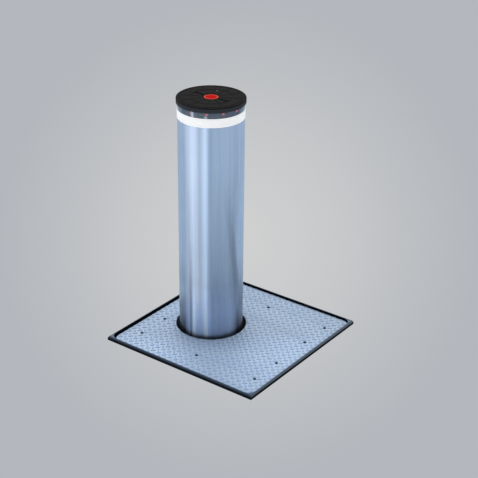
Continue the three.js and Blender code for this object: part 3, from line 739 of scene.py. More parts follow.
def tread_plate():
    """The cover with its holes, and its raised lugs, which stop at the edges and leave the screws free."""
    outline = [(plate_x + point[0], point[1]) for point in square_loop(plate_half, 27.5 * MM, 0)]
    holes = [circle(post_axis.x, post_axis.y, hole_r, ROUND)]
    holes += [circle(s.x, s.y, 4.6 * MM, 16) for s in screws]
    plate = flat_plate("tread_plate", outline, holes, plate_under, plate_top, 0.7 * MM)
    shape, faces = lug_shape()
    limit, rim = plate_half - 1.2 * MM, hole_r + 1.0 * MM
    verts, all_faces = [], []
    for x, y, angle in lug_places():
        inside = max(abs(x), abs(y)) < plate_half + 4 * MM
        in_corner = min(abs(x), abs(y)) > plate_half - 12 * MM
        x += plate_x
        away = math.hypot(x - post_axis.x, y - post_axis.y)
        if not inside or in_corner or away < hole_r - 4 * MM or not clear_of_screws(x, y):
            continue
        c, s = math.cos(angle), math.sin(angle)
        px = np.clip(x + c * shape[:, 0] - s * shape[:, 1], plate_x - limit, plate_x + limit)
        py = np.clip(y + s * shape[:, 0] + c * shape[:, 1], -limit, limit)
        dx, dy = px - post_axis.x, py - post_axis.y
        push = np.maximum(1, rim / np.maximum(np.hypot(dx, dy), 1e-6))
        px, py = post_axis.x + dx * push, post_axis.y + dy * push
        join(verts, all_faces, zip(px, py, plate_top - 0.2 * MM + shape[:, 2]), faces)
    lugs = bpy.data.meshes.new("lugs")
    lugs.from_pydata(verts, [], all_faces)
    whole = bmesh.new()
    whole.from_mesh(plate.data)
    whole.from_mesh(lugs)
    whole.to_mesh(plate.data)
    whole.free()
    finish_piece(plate, tread_steel(), "casing", ["cover_plate"], smooth=50)


tread_plate()

# ---------- cover screws ----------


def screw_zinc():
    """Zinc-plated screw: bright on top, painted darker as painted shade on the flank that faces the camera.
    """
    s = Shader("zinc_screw")
    grain = s.noise(600, 3)
    # The flank facing the camera is painted darker, as painted shade.
    painted_shade_flank = s.dot(s.normal(), (back.x, back.y, 0))
    tone = s.mix(s.level(grain, 0.3, 0.7), (0.30, 0.38, 0.48), (0.40, 0.49, 0.60))
    tone = s.mix(s.level(painted_shade_flank, -0.1, 0.35), tone, (0.030, 0.048, 0.080))
    return s.surface(
        Base_Color=tone, Metallic=0.2, Roughness=s.spread(grain, 0.45, 0.6),
        Normal=s.bump(grain, 0.1), Specular_IOR_Level=0.2,
    )


zinc = screw_zinc()


def button_screw(place):
    """M8 button head with a hexagon socket."""
    r, h, socket_r, deep = 7 * MM, 4.4 * MM, 2.9 * MM, 2.6 * MM
    shank, seat, rim = 4 * MM, 0.3 * MM, 1.0 * MM
    steps, dome = 6, math.pi / 2 * 0.78

    def hexagon(reach, z, angle):
        local = (angle + math.pi / 6) % (math.pi / 3) - math.pi / 6
        return reach * math.cos(math.pi / 6) / math.cos(local), z

    rows = [(shank, -20 * MM), (shank, seat), (r, seat), (r, rim)]
    for k in range(1, steps + 1):
        t = k / steps * dome
        rows.append((r * math.cos(t), rim + (h - rim) * math.sin(t) / math.sin(dome)))
    rows += [(socket_r * 1.12, h), (socket_r, h - seat, True), (socket_r, h - deep, True)]
    rows = [(reach, plate_top + z, *shaped) for reach, z, *shaped in rows]
    return capped(rings(rows, 36, place, hexagon))


for number, place in enumerate(screws, 1):
    replaced = f"cover_screw_{number:02d}"
    piece(f"cover_screw_head_{number:02d}", *button_screw(place), zinc, "casing", "machined", [replaced])

# ---------- the post ----------


def tube(node, wall, r=None):
    """A plain tube's profile with the node's heights, and the node's radius unless another is given."""
    low, high = heights(node)
    r = r or radius(node)
    return [(r - wall, low), (r, low), (r, high), (r - wall, high)]


turned("brushed_sleeve", tube("post_sleeve", 2.5 * MM), brushed_stainless(), "post", "stainless",
       ["post_sleeve"])
turned("tape_band", tube("reflective_band", 0.8 * MM), reflective_tape(), "post", "band_white",
       ["reflective_band"], edge=0.25 * MM)
turned("lamp_lens", tube("light_ring", 1.6 * MM), smoked_lens(), "post", "smoked_lens", ["light_ring"])


def lamp_strip():
    """The lamp board behind the lens, and its lamps as separate dome shapes."""
    r = 128.6 * MM
    board = moulded("solder_mask", (0.04, 0.05, 0.07), 0.4)
    turned("lamp_board", tube("led_board", 1.6 * MM, r), board, "post", "circuit", ["led_board"], 0.2 * MM)
    red = lamp("red_lamp", (0.95, 0.09, 0.15), 2.2)
    half_wide, half_high, stands = 5.2 * MM, 4.4 * MM, 5.6 * MM
    count, around, up = 12, 12, 5
    seat = Vector((post_axis.x, post_axis.y, cap_top - 31.5 * MM))
    verts, faces = [], []
    for n in range(count):
        out = polar(Vector(), 1, 2 * math.pi * n / count, 0)
        side = Vector((-out.y, out.x, 0))
        middle = seat + out * (r - 0.3 * MM)
        loops = []
        for k in range(up):
            lift = math.pi / 2 * k / up
            wide, tall = half_wide * math.cos(lift), half_high * math.cos(lift)
            foot = middle + out * stands * math.sin(lift)
            ring = circle(0, 0, 1, around)
            loops.append([foot + side * wide * x + Vector((0, 0, tall * z)) for x, z in ring])
        dome, dome_faces = skin(loops, closed=False)
        top = len(dome)
        fan = [(top - around + i, top - around + (i + 1) % around, top) for i in range(around)]
        back_face = tuple(range(around - 1, -1, -1))
        join(verts, faces, [*dome, middle + out * stands], [*dome_faces, *fan, back_face])
    piece("crown_lamps", verts, faces, red, "post", "circuit")


lamp_strip()

# ---------- cap ----------

cap_r = radius("cap")


def cap_height(r, angle):
    """How far the cap's top lies below its highest face, at a radius and an angle from its ribs."""
    deep = 0.0
    step = math.pi / 6
    nearest = round(angle / step)
    aside = abs(angle - nearest * step) * r
    slot = nearest % 6 == 0
    if slot and 40 * MM < r < 84 * MM:
        deep = max(deep, 4.0 * MM * smooth_edge(aside, 4.0 * MM, 5.2 * MM))
    elif not slot and 40 * MM < r < 124 * MM:
        deep = max(deep, 1.4 * MM * smooth_edge(aside, 0.8 * MM, 2.2 * MM))
    for ring_r, half in ((87 * MM, 1.5 * MM), (129 * MM, 1.5 * MM), (37 * MM, 1.0 * MM)):
        deep = max(deep, 1.6 * MM * smooth_edge(abs(r - ring_r), half * 0.6, half * 1.6))
    return deep


def smooth_edge(distance, inside, outside):
    t = min(1, max(0, (outside - distance) / (outside - inside)))
    return t * t * (3 - 2 * t)


def grooved(r, z, angle):
    return r, z - cap_height(r, angle)


def grooved_cap():
    """The cap: grooved top, rounded rim, plain side, and an underside that seats on the post."""
    edge, plug_hole, bolt_hole, head_hole = 2.5 * MM, plug_r + 0.3 * MM, 6.3 * MM, 10 * MM
    under, head_seat, plug_seat = cap_top - 20.5 * MM, cap_top - 16 * MM, cap_top - 6 * MM
    hub, spigot, spigot_out, spigot_low = 24 * MM, 118 * MM, 126.3 * MM, under - 13 * MM
    rows = [(bolt_hole, head_seat), (bolt_hole, cap_low), (hub, cap_low), (hub, under), (spigot, under),
            (spigot, spigot_low), (spigot_out, spigot_low), (spigot_out, under),
            (cap_r - 0.5 * MM, under), (cap_r, under + 0.5 * MM)]
    rows += arc(cap_r, cap_top, edge, 5)
    rows += [(r, cap_top, r > plug_r + 1 * MM) for r in np.linspace(plug_hole, cap_r - edge, 84)[-2::-1]]
    rows += [(plug_hole, plug_seat), (head_hole, plug_seat), (head_hole, head_seat)]
    loops = rings(rows, 720, post_axis, grooved, crown_turn)
    piece("grooved_cap", *skin(loops), cap_coat(), "post", "cap_black", ["cap"], smooth=45)


grooved_cap()
plug_low = heights("cap_plug")[0]
plug_rim = cap_top - 0.1 * MM
turned(
    "red_plug",
    [(0, plug_low), (plug_r, plug_low), (plug_r, plug_rim - 0.8 * MM), (plug_r - 2.2 * MM, plug_rim),
     (plug_r - 4.5 * MM, plug_rim), (plug_r - 5.5 * MM, plug_rim - 0.6 * MM), (0, plug_rim - 0.4 * MM)],
    red_reflector(), "post", "plug_red", ["cap_plug"], edge=0.5 * MM, segments=FINE * 2,
)

# ---------- the machine below the street: materials ----------


def galvanised(name="galvanised", tint=(0.50, 0.53, 0.56)):
    """Hot-dip zinc: angular spangles of differing tone and shine, dull white bloom, grey edges."""
    s = Shader(name)
    warped = s.vector("ADD", s.place((1, 1, 0.8)), s.times(s.noise(30, 2), 0.02))
    cells = s.node("TexVoronoi", Vector=warped, Scale=70).outputs["Color"]
    spangle = s.node("SeparateColor", Color=cells).outputs[0]
    bloom = s.level(s.noise(7, 5), 0.48, 0.72, 0, 0.6)
    darker, paler = scaled(tint, 0.80), scaled(tint, 1.18)
    tone = s.ramp(spangle, (0.1, darker), (0.9, paler))
    tone = s.mix(bloom, tone, (0.62, 0.63, 0.63))
    tone = s.mix(s.times(s.edges(2 * MM), 0.5), tone, (0.36, 0.37, 0.38))
    rough = s.math("ADD", s.level(spangle, 0, 1, 0.34, 0.50), s.times(bloom, 0.25))
    return s.surface(
        Base_Color=tone, Metallic=s.level(bloom, 0, 0.6, 0.85, 0.35), Roughness=rough,
        Normal=s.bump(spangle, 0.12),
    )


def cast_metal(name, colour, rough=0.6):
    """Painted casting: sandy skin, dust lying on top, bright metal on knocked edges."""
    s = Shader(name)
    sand = s.noise(520, 5)
    lumps = s.noise(60, 3)
    up = s.parts(s.normal())[2]
    dust = s.times(s.level(up, 0.5, 0.9, 0, 0.35), s.level(s.noise(40, 4), 0.35, 0.65))
    tone = s.mix(s.level(lumps, 0.3, 0.7), colour, scaled(colour, 1.25))
    tone = s.mix(dust, tone, (0.38, 0.36, 0.33))
    tone = s.mix(s.times(s.edges(), 0.55), tone, (0.55, 0.56, 0.57))
    return s.surface(
        Base_Color=tone, Metallic=0.2, Roughness=s.spread(lumps, rough - 0.08, rough + 0.08),
        Normal=s.bump(sand, 0.45, 0.3 * MM),
    )


def machined_steel(name="machined", colour=(0.55, 0.56, 0.57), rough=0.28):
    """Turned or milled steel: close tool marks, a film of oil and brown at the edges."""
    s = Shader(name)
    marks = s.noise(380, 3, (0.15, 0.15, 4))
    film = s.noise(28, 4)
    tone = s.ramp(marks, (0.3, scaled(colour, 0.85)), (0.7, colour))
    tone = s.mix(s.level(film, 0.55, 0.8, 0, 0.45), tone, (0.27, 0.22, 0.17))
    return s.surface(
        Base_Color=tone, Metallic=1.0, Roughness=s.spread(film, rough - 0.06, rough + 0.12),
        Normal=s.bump(marks, 0.15, 0.05 * MM),
    )


def hard_chrome():
    s = Shader("hard_chrome")
    film = s.noise(24, 4, (1, 1, 0.3))
    scuffs = s.noise(700, 2, (1, 1, 0.02))
    return s.surface(
        Base_Color=(0.78, 0.79, 0.80), Metallic=1.0, Roughness=s.level(film, 0.4, 0.7, 0.06, 0.18),
        Normal=s.bump(scuffs, 0.05, 0.02 * MM),
    )


def gloss_paint(name, colour, rough=0.32):
    """Sprayed machine enamel with orange peel, dust on ledges and chipped edges."""
    s = Shader(name)
    peel = s.noise(240, 2)
    cloud = s.noise(18, 4)
    up = s.parts(s.normal())[2]
    dust = s.times(s.level(up, 0.6, 0.95, 0, 0.3), s.level(s.noise(55, 4), 0.35, 0.65))
    chips = s.times(s.edges(1.2 * MM), s.level(s.noise(160, 3), 0.5, 0.62))
    tone = s.mix(s.level(cloud, 0.35, 0.7, 0, 0.5), colour, scaled(colour, 0.8))
    tone = s.mix(dust, tone, (0.42, 0.40, 0.37))
    tone = s.mix(chips, tone, (0.16, 0.15, 0.14))
    return s.surface(
        Base_Color=tone, Roughness=s.math("ADD", dust, s.spread(cloud, rough - 0.05, rough + 0.1)),
        Normal=s.bump(peel, 0.06),
    )


def rubber_compound(name, colour=(0.022, 0.022, 0.024)):
    """Black rubber with a mould skin and a grey bloom."""
    s = Shader(name)
    skin_grain = s.noise(900, 3)
    bloom = s.level(s.noise(30, 5), 0.42, 0.75, 0, 0.55)
    tone = s.mix(bloom, colour, (0.075, 0.074, 0.072))
    return s.surface(
        Base_Color=tone, Roughness=s.level(bloom, 0, 0.55, 0.5, 0.78),
        Normal=s.bump(skin_grain, 0.25), Specular_IOR_Level=0.35,
    )


zinc_dip = galvanised()
zinc_tube = galvanised("galvanised_tube", (0.46, 0.49, 0.52))
grey_casting = cast_metal("grey_casting", (0.13, 0.14, 0.15))
pump_casting = cast_metal("pump_casting", (0.40, 0.41, 0.42), 0.5)
turned_steel = machined_steel()
chrome = hard_chrome()
black_enamel = gloss_paint("black_enamel", (0.018, 0.019, 0.020), 0.36)
blue_enamel = gloss_paint("blue_enamel", (0.025, 0.085, 0.21))
tank_enamel = gloss_paint("tank_enamel", (0.20, 0.215, 0.23), 0.38)
black_rubber = rubber_compound("black_rubber")
cable_sheath = rubber_compound("cable_sheath", (0.014, 0.014, 0.015))
black_plastic = moulded("black_plastic", (0.022, 0.022, 0.023), 0.5)
box_plastic = moulded("box_plastic", (0.50, 0.51, 0.50), 0.5)
knob_plastic = moulded("knob_plastic", (0.56, 0.03, 0.022), 0.4)
sensor_plastic = moulded("sensor_plastic", (0.80, 0.22, 0.02), 0.42)
bearing_plastic = moulded("bearing_plastic", (0.63, 0.60, 0.50), 0.5, 300)

# ---------- the machine below the street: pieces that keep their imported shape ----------


def refined(node, name, material, width=0.8 * MM, smooth=32):
    """The node's own shape with softened edges, standing in for the node."""
    source = frame["nodes"][node]
    mesh = source.data.copy()
    mesh.name = name
    mesh.materials.clear()
    if "custom_normal" in mesh.attributes:
        mesh.attributes.remove(mesh.attributes["custom_normal"])
    welded(mesh, 0.01 * MM)
    obj = bpy.data.objects.new(name, mesh)
    finish_piece(obj, material, body_of(source)[0], [node], smooth)
    return bevelled(obj, width) if width else obj


KEPT = [
    # material, slot, then node, piece and edge in mm
    (zinc_dip, "galvanised", ("chassis", "pit_chassis", 1.2), ("base_plate", "pit_base", 0.8),
     ("guide_rail_front", "rail_front", 1.0), ("guide_rail_back", "rail_back", 1.0),
     ("crown_plate", "crown_disc", 0.8), ("foot_flange", "foot_ring", 1.0), ("shelf", "pump_shelf", 0.8)),
    (grey_casting, "cast_grey", ("guide_collar", "guide_casting", 1.6), ("ram_foot", "ram_seat", 1.6)),
    (pump_casting, "cast_grey", ("pump_block", "valve_block", 1.2), ("pump_housing", "pump_body", 1.2)),
    (turned_steel, "machined", ("ram_gland", "ram_collar", 1.0), ("ram_piston", "ram_piston_head", 0.6),
     ("rod_nut", "top_nut", 0.8), ("cap_bolt", "cap_screw", 0.6), ("sensor_magnet", "trip_magnet", 0.8),
     ("drive_gear", "drive_wheel", 0.3), ("idler_gear", "idler_wheel", 0.3),
     ("motor_rotor", "rotor_and_fan", 0.6)),
    (black_plastic, "black_steel", ("solenoid_valve", "lowering_valve", 1.5)),
    (knob_plastic, "knob_red", ("release_knob", "hand_knob", 1.5)),
    (black_rubber, "rubber", ("buffer_ring", "stop_ring", 4.0), ("cover_gasket", "lid_gasket", 0.5)),
    (box_plastic, "box_grey", ("junction_box", "terminal_box", 2.0)),
    (sensor_plastic, "sensor_orange", ("upper_sensor", "top_switch", 1.5),
     ("lower_sensor", "foot_switch", 1.5)),
]
for material, slot, *members in KEPT:
    for node, name, edge in members:
        refined(node, name, material, edge * MM)

# ---------- the machine below the street: round pieces ----------


RAM_BORE, POST_BORE = 25 * MM, 139.2 * MM
turned("inner_tube", tube("post_tube", 8 * MM), zinc_tube, "post", "galvanised", ["post_tube"])
turned("ram_cylinder", tube("ram_barrel", radius("ram_barrel") - RAM_BORE), black_enamel, "casing",
       "black_steel", ["ram_barrel"], 1.2 * MM, FINE)
turned("bush_liner", tube("guide_bush", radius("guide_bush") - POST_BORE), bearing_plastic, "casing",
       "bearing", ["guide_bush"], 1.5 * MM)


def wiper_profile():
    low, high = heights("wiper_seal")
    outside, lip = radius("wiper_seal"), low + (high - low) * 0.45
    return [(POST_BORE + 4 * MM, low), (outside, low), (outside, lip), (POST_BORE + 6 * MM, lip),
            (POST_BORE + 1.2 * MM, high), (POST_BORE, high - 1 * MM)]


turned("lip_seal", wiper_profile(), black_rubber, "casing", "rubber", ["wiper_seal"], 0.5 * MM)


def rod_profile():
    low, high = heights("ram_rod")
    r, neck = radius("ram_rod"), 12 * MM
    shoulder_low, shoulder_high = heights("ram_piston")[1] + 0.3 * MM, heights("crown_plate")[0]
    profile = [(0, low), (neck, low), (neck, shoulder_low), (r, shoulder_low), (r, shoulder_high),
               (neck, shoulder_high)]
    pitch = 1.75 * MM
    z = heights("rod_nut")[0]
    while z + pitch < high - 1 * MM:
        profile += [(neck, z), (neck - 0.9 * MM, z + pitch / 2)]
        z += pitch
    return profile + [(neck, z), (neck, high - 1.2 * MM), (neck - 1.2 * MM, high), (0, high)]


turned("plunger", rod_profile(), chrome, "post", "chrome", ["ram_rod"], 0.3 * MM, FINE)


def tank_profile():
    low, high = heights("oil_tank")
    r, rim, wall, lip = 80 * MM, radius("oil_tank"), 3 * MM, 5 * MM
    bead = 1.6 * MM
    profile = [(0, low), (r - 9 * MM, low), (r - 3 * MM, low + 3 * MM), (r, low + 9 * MM)]
    for z in (low + 70 * MM, low + 150 * MM):
        profile += [(r, z), (r - bead, z + 3 * MM), (r - bead, z + 7 * MM), (r, z + 10 * MM)]
    inside = [(r - wall, high), (r - wall, low + wall), (0, low + wall)]
    return profile + [(r, high - lip), (rim, high - lip), (rim, high), *inside]


turned("tank_shell", tank_profile(), tank_enamel, "casing", "tank_grey", ["oil_tank"], 1.5 * MM, FINE * 2,
       (pack_axis.x, pack_axis.y))


def finned_motor(fins=44):
    """Ribbed motor case between two plain end bells, with a foot flange."""
    low, high = heights("motor_housing")
    flange, r, root, bore, hole = radius("motor_housing"), 62 * MM, 56.5 * MM, 51 * MM, 10 * MM
    step, foot, floor, ceiling = 1 * MM, low + 10 * MM, low + 16 * MM, high - 8 * MM
    bell_low, bell_high, chamfer, flip = low + 30 * MM, high - 18 * MM, 0.8 * MM, 1.1 * MM

    def ribbed(reach, z, angle):
        wave = 0.5 + 0.5 * math.cos(fins * angle)
        valley = 1 - min(1, max(0, (wave - 0.35) / 0.3))
        return reach - valley * (r - step - root), z

    rows = [(hole, low), (flange - chamfer, low), (flange, low + chamfer), (flange, foot - chamfer),
            (flange - chamfer, foot), (r + step, foot), (r, foot + step), (r, bell_low),
            (r - step, bell_low + step), (r - step, bell_low + flip, True),
            (r - step, bell_high - flip, True), (r - step, bell_high - step), (r, bell_high),
            (r, high - step), (r - step, high), (hole, high),
            (hole, ceiling), (bore, ceiling), (bore, floor), (hole, floor)]
    loops = rings(rows, fins * 16, pack_axis, ribbed)
    piece("finned_motor", *skin(loops), blue_enamel, "casing", "motor_blue", ["motor_housing"])


finned_motor()


def cowl(slots=10, around=240):
    """Pressed fan cowl: rounded drum open below, radial slots in its top."""
    low, high = heights("fan_cowl")
    r, wall, corner = radius("fan_cowl"), 1.6 * MM, 7 * MM
    slot_out, slot_in = 49 * MM, 17 * MM
    rows = [(r, low), (r, low + 2 * MM), (r, high - corner), *arc(r, high, corner, 6, 1)]
    rows += [(slot_out + 2 * MM, high)]
    rows += [(slot_out - (slot_out - slot_in) * k / 8, high) for k in range(9)]
    rows += [(8 * MM, high - 0.6 * MM), (2 * MM, high - 0.8 * MM)]
    verts, faces = capped(rings(rows, around, pack_axis))
    step = 2 * math.pi / slots
    kept = []
    for face in faces:
        middle = sum((Vector(verts[i]) for i in face), Vector()) / len(face)
        away = Vector((middle.x - pack_axis.x, middle.y - pack_axis.y))
        angle = math.atan2(away.y, away.x) % step
        in_slot = slot_in < away.length < slot_out and min(angle, step - angle) * away.length < 3 * MM
        open_foot = len(face) == around and middle.z < high - corner
        if not open_foot and not (len(face) == 4 and in_slot and middle.z > high - MM):
            kept.append(face)
    obj = piece("slotted_cowl", verts, kept, black_enamel, "casing", "black_steel", ["fan_cowl"])
    thick = obj.modifiers.new("sheet", "SOLIDIFY")
    thick.thickness = wall
    thick.offset = -1


cowl()


def knurled_cap(grips=24):
    """Breather cap with a gripped edge and a domed top."""
    low, high = heights("filler_cap")
    stem, flange, grip = 12 * MM, radius("filler_cap"), 16 * MM
    seat = heights("pump_block")[1] + 0.3 * MM
    flange_top, chamfer = seat + 5.7 * MM, 1 * MM

    def gripped(r, z, angle):
        return r - 0.9 * MM * (0.5 + 0.5 * math.cos(grips * angle)) ** 2, z

    rows = [(stem, low), (stem, seat), (flange - chamfer, seat), (flange, seat + chamfer),
            (flange, flange_top - chamfer), (flange - chamfer, flange_top), (grip, flange_top, True),
            (grip, high - 3 * MM, True), (grip - 0.8 * MM, high - 1.2 * MM, True),
            (grip - 2.5 * MM, high - 0.3 * MM), (grip - 6 * MM, high)]
    verts, faces = capped(rings(rows, grips * 10, centre("filler_cap"), gripped))
    piece("breather_cap", verts, faces, black_plastic, "casing", "black_steel", ["filler_cap"])


knurled_cap()


def side_roller(node, name, body):
    """Nylon wheel on its stub axle, turned on a cross axis, with rounded treads and recessed sides."""
    low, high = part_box(node)
    middle, r, half = centre(node), radius(node), (high.y - low.y) / 2
    bore, recess, edge = 6.3 * MM, 2 * MM - half, 1.5 * MM
    side = [(bore, -half), (bore + 4 * MM, -half), (bore + 5 * MM, recess), (r - 5 * MM, recess),
            (r - 4 * MM, -half), (r - edge, -half), (r, edge - half)]
    profile = side + [(x, -z) for x, z in reversed(side)]
    verts, faces = turn(profile, FINE)
    placed = [(middle.x + x, middle.y + z, middle.z + y) for x, y, z in verts]
    piece(name, placed, faces, bearing_plastic, body, "bearing", [node], smooth=35)


side_roller("roller_front", "wheel_front", "front_roller")
side_roller("roller_back", "wheel_back", "back_roller")

# ---------- the machine below the street: hoses, cables and fittings ----------


def softened(node, name, material, radius_was):
    """The node's own run of hose or cable, rounded; the lost girth is given back."""
    obj = refined(node, name, material, width=0, smooth=80)
    rounder = obj.modifiers.new("round", "SUBSURF")
    rounder.levels = rounder.render_levels = 2
    swell = obj.modifiers.new("swell", "DISPLACE")
    swell.strength = radius_was * 0.15
    swell.mid_level = 0


softened("pressure_hose", "pressure_line", black_rubber, 8 * MM)
softened("supply_cable", "mains_lead", cable_sheath, 8 * MM)
softened("lamp_cable", "lamp_lead", cable_sheath, 4 * MM)


def fitting(name, profile, at, along, material, slot, sides=FINE):
    """A turned or hexagonal fitting. Its profile's heights run along the given direction."""
    verts, faces = turn(profile, sides)
    spin = Vector(along).to_track_quat("Z", "Y").to_matrix()
    placed = [Vector(at) + spin @ Vector(v) for v in verts]
    piece(name, placed, faces, material, "casing", slot, smooth=30)


def hose_ends():
    block_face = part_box("pump_block")[0].x
    foot_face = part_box("ram_foot")[1].x
    hose_low, hose_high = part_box("pressure_hose")
    pump_end = (block_face - 0.3 * MM, 20 * MM, hose_high.z - 7 * MM)
    foot_end = (foot_face + 0.3 * MM, -22 * MM, hose_low.z + 8.4 * MM)
    nut = [(8.6 * MM, 0), (11 * MM, 0), (12 * MM, 0.8 * MM), (12 * MM, 9.2 * MM), (11 * MM, 10 * MM),
           (8.6 * MM, 10 * MM)]
    fitting("hose_nut_pump", nut, pump_end, (-1, 0, 0), turned_steel, "machined", 6)
    fitting("hose_nut_foot", nut, foot_end, (1, 0, 0), turned_steel, "machined", 6)


hose_ends()


def cable_gland(name, at, along, bore):
    r = bore + 4.5 * MM
    dome = [(bore + 0.2 * MM, 0), (r, 0), (r, 4 * MM), (r - 0.8 * MM, 4.8 * MM), (r - 0.8 * MM, 12 * MM)]
    for k in range(1, 6):
        t = k / 5 * math.pi / 2
        dome.append((r - 0.8 * MM - 3.2 * MM * (1 - math.cos(t)), 12 * MM + 5 * MM * math.sin(t)))
    dome.append((bore + 0.2 * MM, 17 * MM))
    fitting(name, dome, at, along, black_plastic, "black_steel", 24)


def box_glands():
    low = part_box("junction_box")[0]
    level = low.z + 39.7 * MM
    mains_x, lamp_y = centre("supply_cable").x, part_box("lamp_cable")[0].y + 4 * MM
    cable_gland("gland_mains", (mains_x, low.y, level), (0, -1, -0.08), 8.2 * MM)
    cable_gland("gland_lamp", (low.x, lamp_y, level), (-1, 0, -0.03), 4.2 * MM)


box_glands()


def box_lid():
    """Lid with a raised centre and four sunk screws."""
    low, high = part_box("junction_box_lid")
    cy, cz = (low.y + high.y) / 2, (low.z + high.z) / 2
    half_y, half_z = (high.y - low.y) / 2, (high.z - low.z) / 2
    quarters = ((1, 1), (-1, 1), (-1, -1), (1, -1))
    face = high.x - 1.6 * MM
    loops = []
    for inset, x in ((0, low.x), (0, face - 1 * MM), (1.2 * MM, face), (9 * MM, face), (10.5 * MM, high.x),
                     (12 * MM, high.x)):
        loop = []
        corner = max(1.5 * MM, 5 * MM - inset * 0.2)
        for quarter, (sy, sz) in enumerate(quarters):
            for k in range(7):
                angle = math.pi / 2 * (quarter + k / 6)
                loop.append((x, cy + sy * (half_y - inset - corner) + corner * math.cos(angle),
                             cz + sz * (half_z - inset - corner) + corner * math.sin(angle)))
        loops.append(loop)
    piece("terminal_lid", *capped(loops), box_plastic, "casing", "box_grey", ["junction_box_lid"])
    head = [(0, 0), (3.2 * MM, 0), (3.2 * MM, 0.9 * MM), (2.6 * MM, 1.5 * MM), (1.4 * MM, 1.5 * MM),
            (1.2 * MM, 0.4 * MM), (0, 0.4 * MM)]
    for number, (sy, sz) in enumerate(quarters, 1):
        at = (face - 0.1 * MM, cy + sy * (half_y - 6 * MM), cz + sz * (half_z - 6 * MM))
        fitting(f"lid_screw_{number}", head, at, (1, 0, 0), turned_steel, "machined", 24)


box_lid()


def coil_cable(turns=44, steps=28, sides=10):
    """The lamp lead's spring coil round the ram, built in one shape; nothing here closes it up as the post
    sinks.
    """
    low, high = heights("coil_cable")
    wire = 4 * MM
    coil = radius("coil_cable") - wire
    total = turns * steps
    climb = (high - low - 2 * wire) / total
    slope = math.atan2(climb * steps, 2 * math.pi * coil)
    loops = []
    for n in range(total + 1):
        angle = 2 * math.pi * n / steps
        out = Vector((math.cos(angle), math.sin(angle), 0))
        along = Vector((-out.y * math.cos(slope), out.x * math.cos(slope), math.sin(slope)))
        up = out.cross(along)
        middle = Vector((post_axis.x, post_axis.y, low + wire + climb * n)) + out * coil
        loops.append([tuple(middle + wire * (out * math.cos(a) + up * math.sin(a)))
                      for a in (2 * math.pi * k / sides for k in range(sides))])
    obj = piece("spring_lead", *capped(loops), cable_sheath, "casing", "cable_black", ["coil_cable"], 60)
    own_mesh(obj)


coil_cable()

# ---------- stage, light and camera ----------


def photo_camera():
    data = bpy.data.cameras.new("camera")
    data.lens = PHOTO_LENS
    data.sensor_width = 36
    data.clip_end = 200
    cam = show(bpy.data.objects.new("camera", data))
    look = (-back).to_track_quat("-Z", "Y").to_matrix().to_4x4()
    cam.matrix_world = Matrix.Translation(eye) @ look @ Matrix.Rotation(PHOTO_ROLL, 4, "Z")
    bpy.context.scene.camera = cam


photo_camera()


def stage_mesh(name, verts, faces, material):
    mesh = bpy.data.meshes.new(name)
    mesh.from_pydata(verts, [], faces)
    mesh.materials.append(material)
    obj = show(bpy.data.objects.new(name, mesh))
    return obj


def street_backdrop():
    """Plain grey paving round the frame, glowing, painted lighter in the middle of the view and darker
    towards its corners. Only the main camera sees it; from anywhere else it is clear, so that the mechanism
    below the street shows."""
    s = Shader("street_backdrop")
    window = s.node("TexCoord").outputs["Window"]
    away = s.node("Mapping", {"vector_type": "POINT"}, Vector=window, Location=(-0.5, -0.5, 0)).outputs[0]
    # Painted light: lighter in the middle of the view, darker towards its corners.
    tone = s.ramp(
        s.distance(away, (0, 0, 0)), (0.0, (0.632, 0.632, 0.632)), (0.125, (0.597, 0.604, 0.612)),
        (0.25, (0.552, 0.565, 0.578)), (0.375, (0.497, 0.515, 0.540)), (0.5, (0.456, 0.474, 0.508)),
    )
    glow = s.node("Emission", Color=tone, Strength=1.0)
    clear = s.node("BsdfTransparent")
    to_world = {"vector_type": "POINT", "convert_from": "CAMERA", "convert_to": "WORLD"}
    viewer = s.node("VectorTransform", to_world, Vector=(0, 0, 0)).outputs[0]
    elsewhere = s.math("GREATER_THAN", s.distance(viewer, tuple(eye)), 0.01)
    s.end(s.node("MixShader", _0=elsewhere, _1=glow.outputs[0], _2=clear.outputs[0]))
    z = street - 18 * MM
    near, far = outer - 0.1 * MM, 60.0
    verts = [(sx * d, sy * d, z) for d in (near, far) for sx, sy in ((-1, -1), (1, -1), (1, 1), (-1, 1))]
    faces = [(i, (i + 1) % 4, 4 + (i + 1) % 4, 4 + i) for i in range(4)]
    obj = stage_mesh("street_backdrop", verts, faces, s.material)
    obj.visible_diffuse = obj.visible_glossy = obj.visible_shadow = obj.visible_transmission = False


street_backdrop()


def studio_floor():
    s = Shader("studio_floor")
    far = s.level(s.node("CameraData").outputs["View Distance"], 6, 22)
    lit = s.node("BsdfDiffuse", Color=(0.90, 0.905, 0.91))
    haze = s.node("Emission", Color=(0.60, 0.605, 0.61), Strength=1.0)
    s.end(s.node("MixShader", _0=far, _1=lit.outputs[0], _2=haze.outputs[0]))
    floor = stage_mesh("studio_floor", *turn([(0, 0), (60, 0), (0, -0.001)], 64), s.material)
    floor.visible_glossy = False


studio_floor()


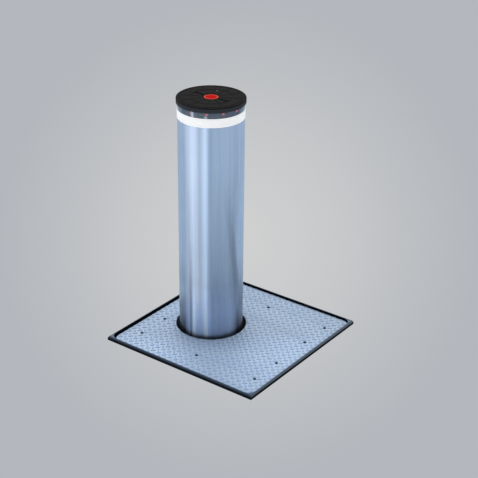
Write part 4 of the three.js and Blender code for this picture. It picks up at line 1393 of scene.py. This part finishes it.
def studio_world():
    """Soft light all round. Its level changes with direction, as a studio's cards and lamps do, so
    that the sleeve shows long upright highlights."""
    world = bpy.data.worlds.new("studio")
    world.use_nodes = True
    bpy.context.scene.world = world
    s = Shader("studio", world.node_tree)
    ray = s.node("TexCoord").outputs["Generated"]
    part, turn_part = s.from_camera(ray)
    # 0.5 is towards the camera, 0 and 1 are behind the object, below 0.5 is the camera's left
    side = s.math("ADD", s.math("DIVIDE", turn_part, 2 * math.pi), 0.5)
    low = (0.40, 0.49, 0.57)
    for at, even, soft, power in (
        (0.325, 0.020, 0.120, (0.74, 0.695, 0.66)),  # a broad card on the camera's left
        (0.440, 0.008, 0.045, (0.585, 0.62, 0.62)),  # a narrow strip beside it
        (0.580, 0.060, 0.180, (0.22, 0.25, 0.26)),  # a weak card on the right
    ):
        low = s.mix(s.near(side, at, even, soft), low, power, "ADD")
    high = s.ramp(s.level(part[2], -0.1, 1.0), (0.0, 1.0), (0.5, 0.9), (1.0, 0.55))
    dome = s.tint(high, s.level(part[1], -0.6, 0.5, 0.22, 1.25))
    light = s.mix(s.level(part[2], -0.12, 0.12), low, dome)
    see = s.node("LightPath").outputs["Is Camera Ray"]
    colour = s.mix(see, light, (0.60, 0.605, 0.61))
    s.end(s.node("Background", Color=colour, Strength=1.0), "OutputWorld")


studio_world()


def area_light(name, place, target, size, power, colour=(1, 1, 1)):
    data = bpy.data.lights.new(name, "AREA")
    data.shape = "RECTANGLE"
    data.size, data.size_y = size
    data.energy = power
    data.color = colour
    obj = show(bpy.data.objects.new(name, data))
    obj.location = place
    obj.rotation_euler = (Vector(target) - Vector(place)).to_track_quat("-Z", "Y").to_euler()
    return obj


for light in (
    area_light("key_light", (-2.6, 3.2, 5.2), (0, 0, 1.4), (3.0, 3.0), 42),
    area_light("fill_light", (0.6, -4.2, 4.6), (0, 0, 1.6), (3.0, 3.0), 36),
):
    light.visible_glossy = False

bpy.context.scene.view_settings.view_transform = "Standard"
bpy.context.scene.view_settings.look = "None"
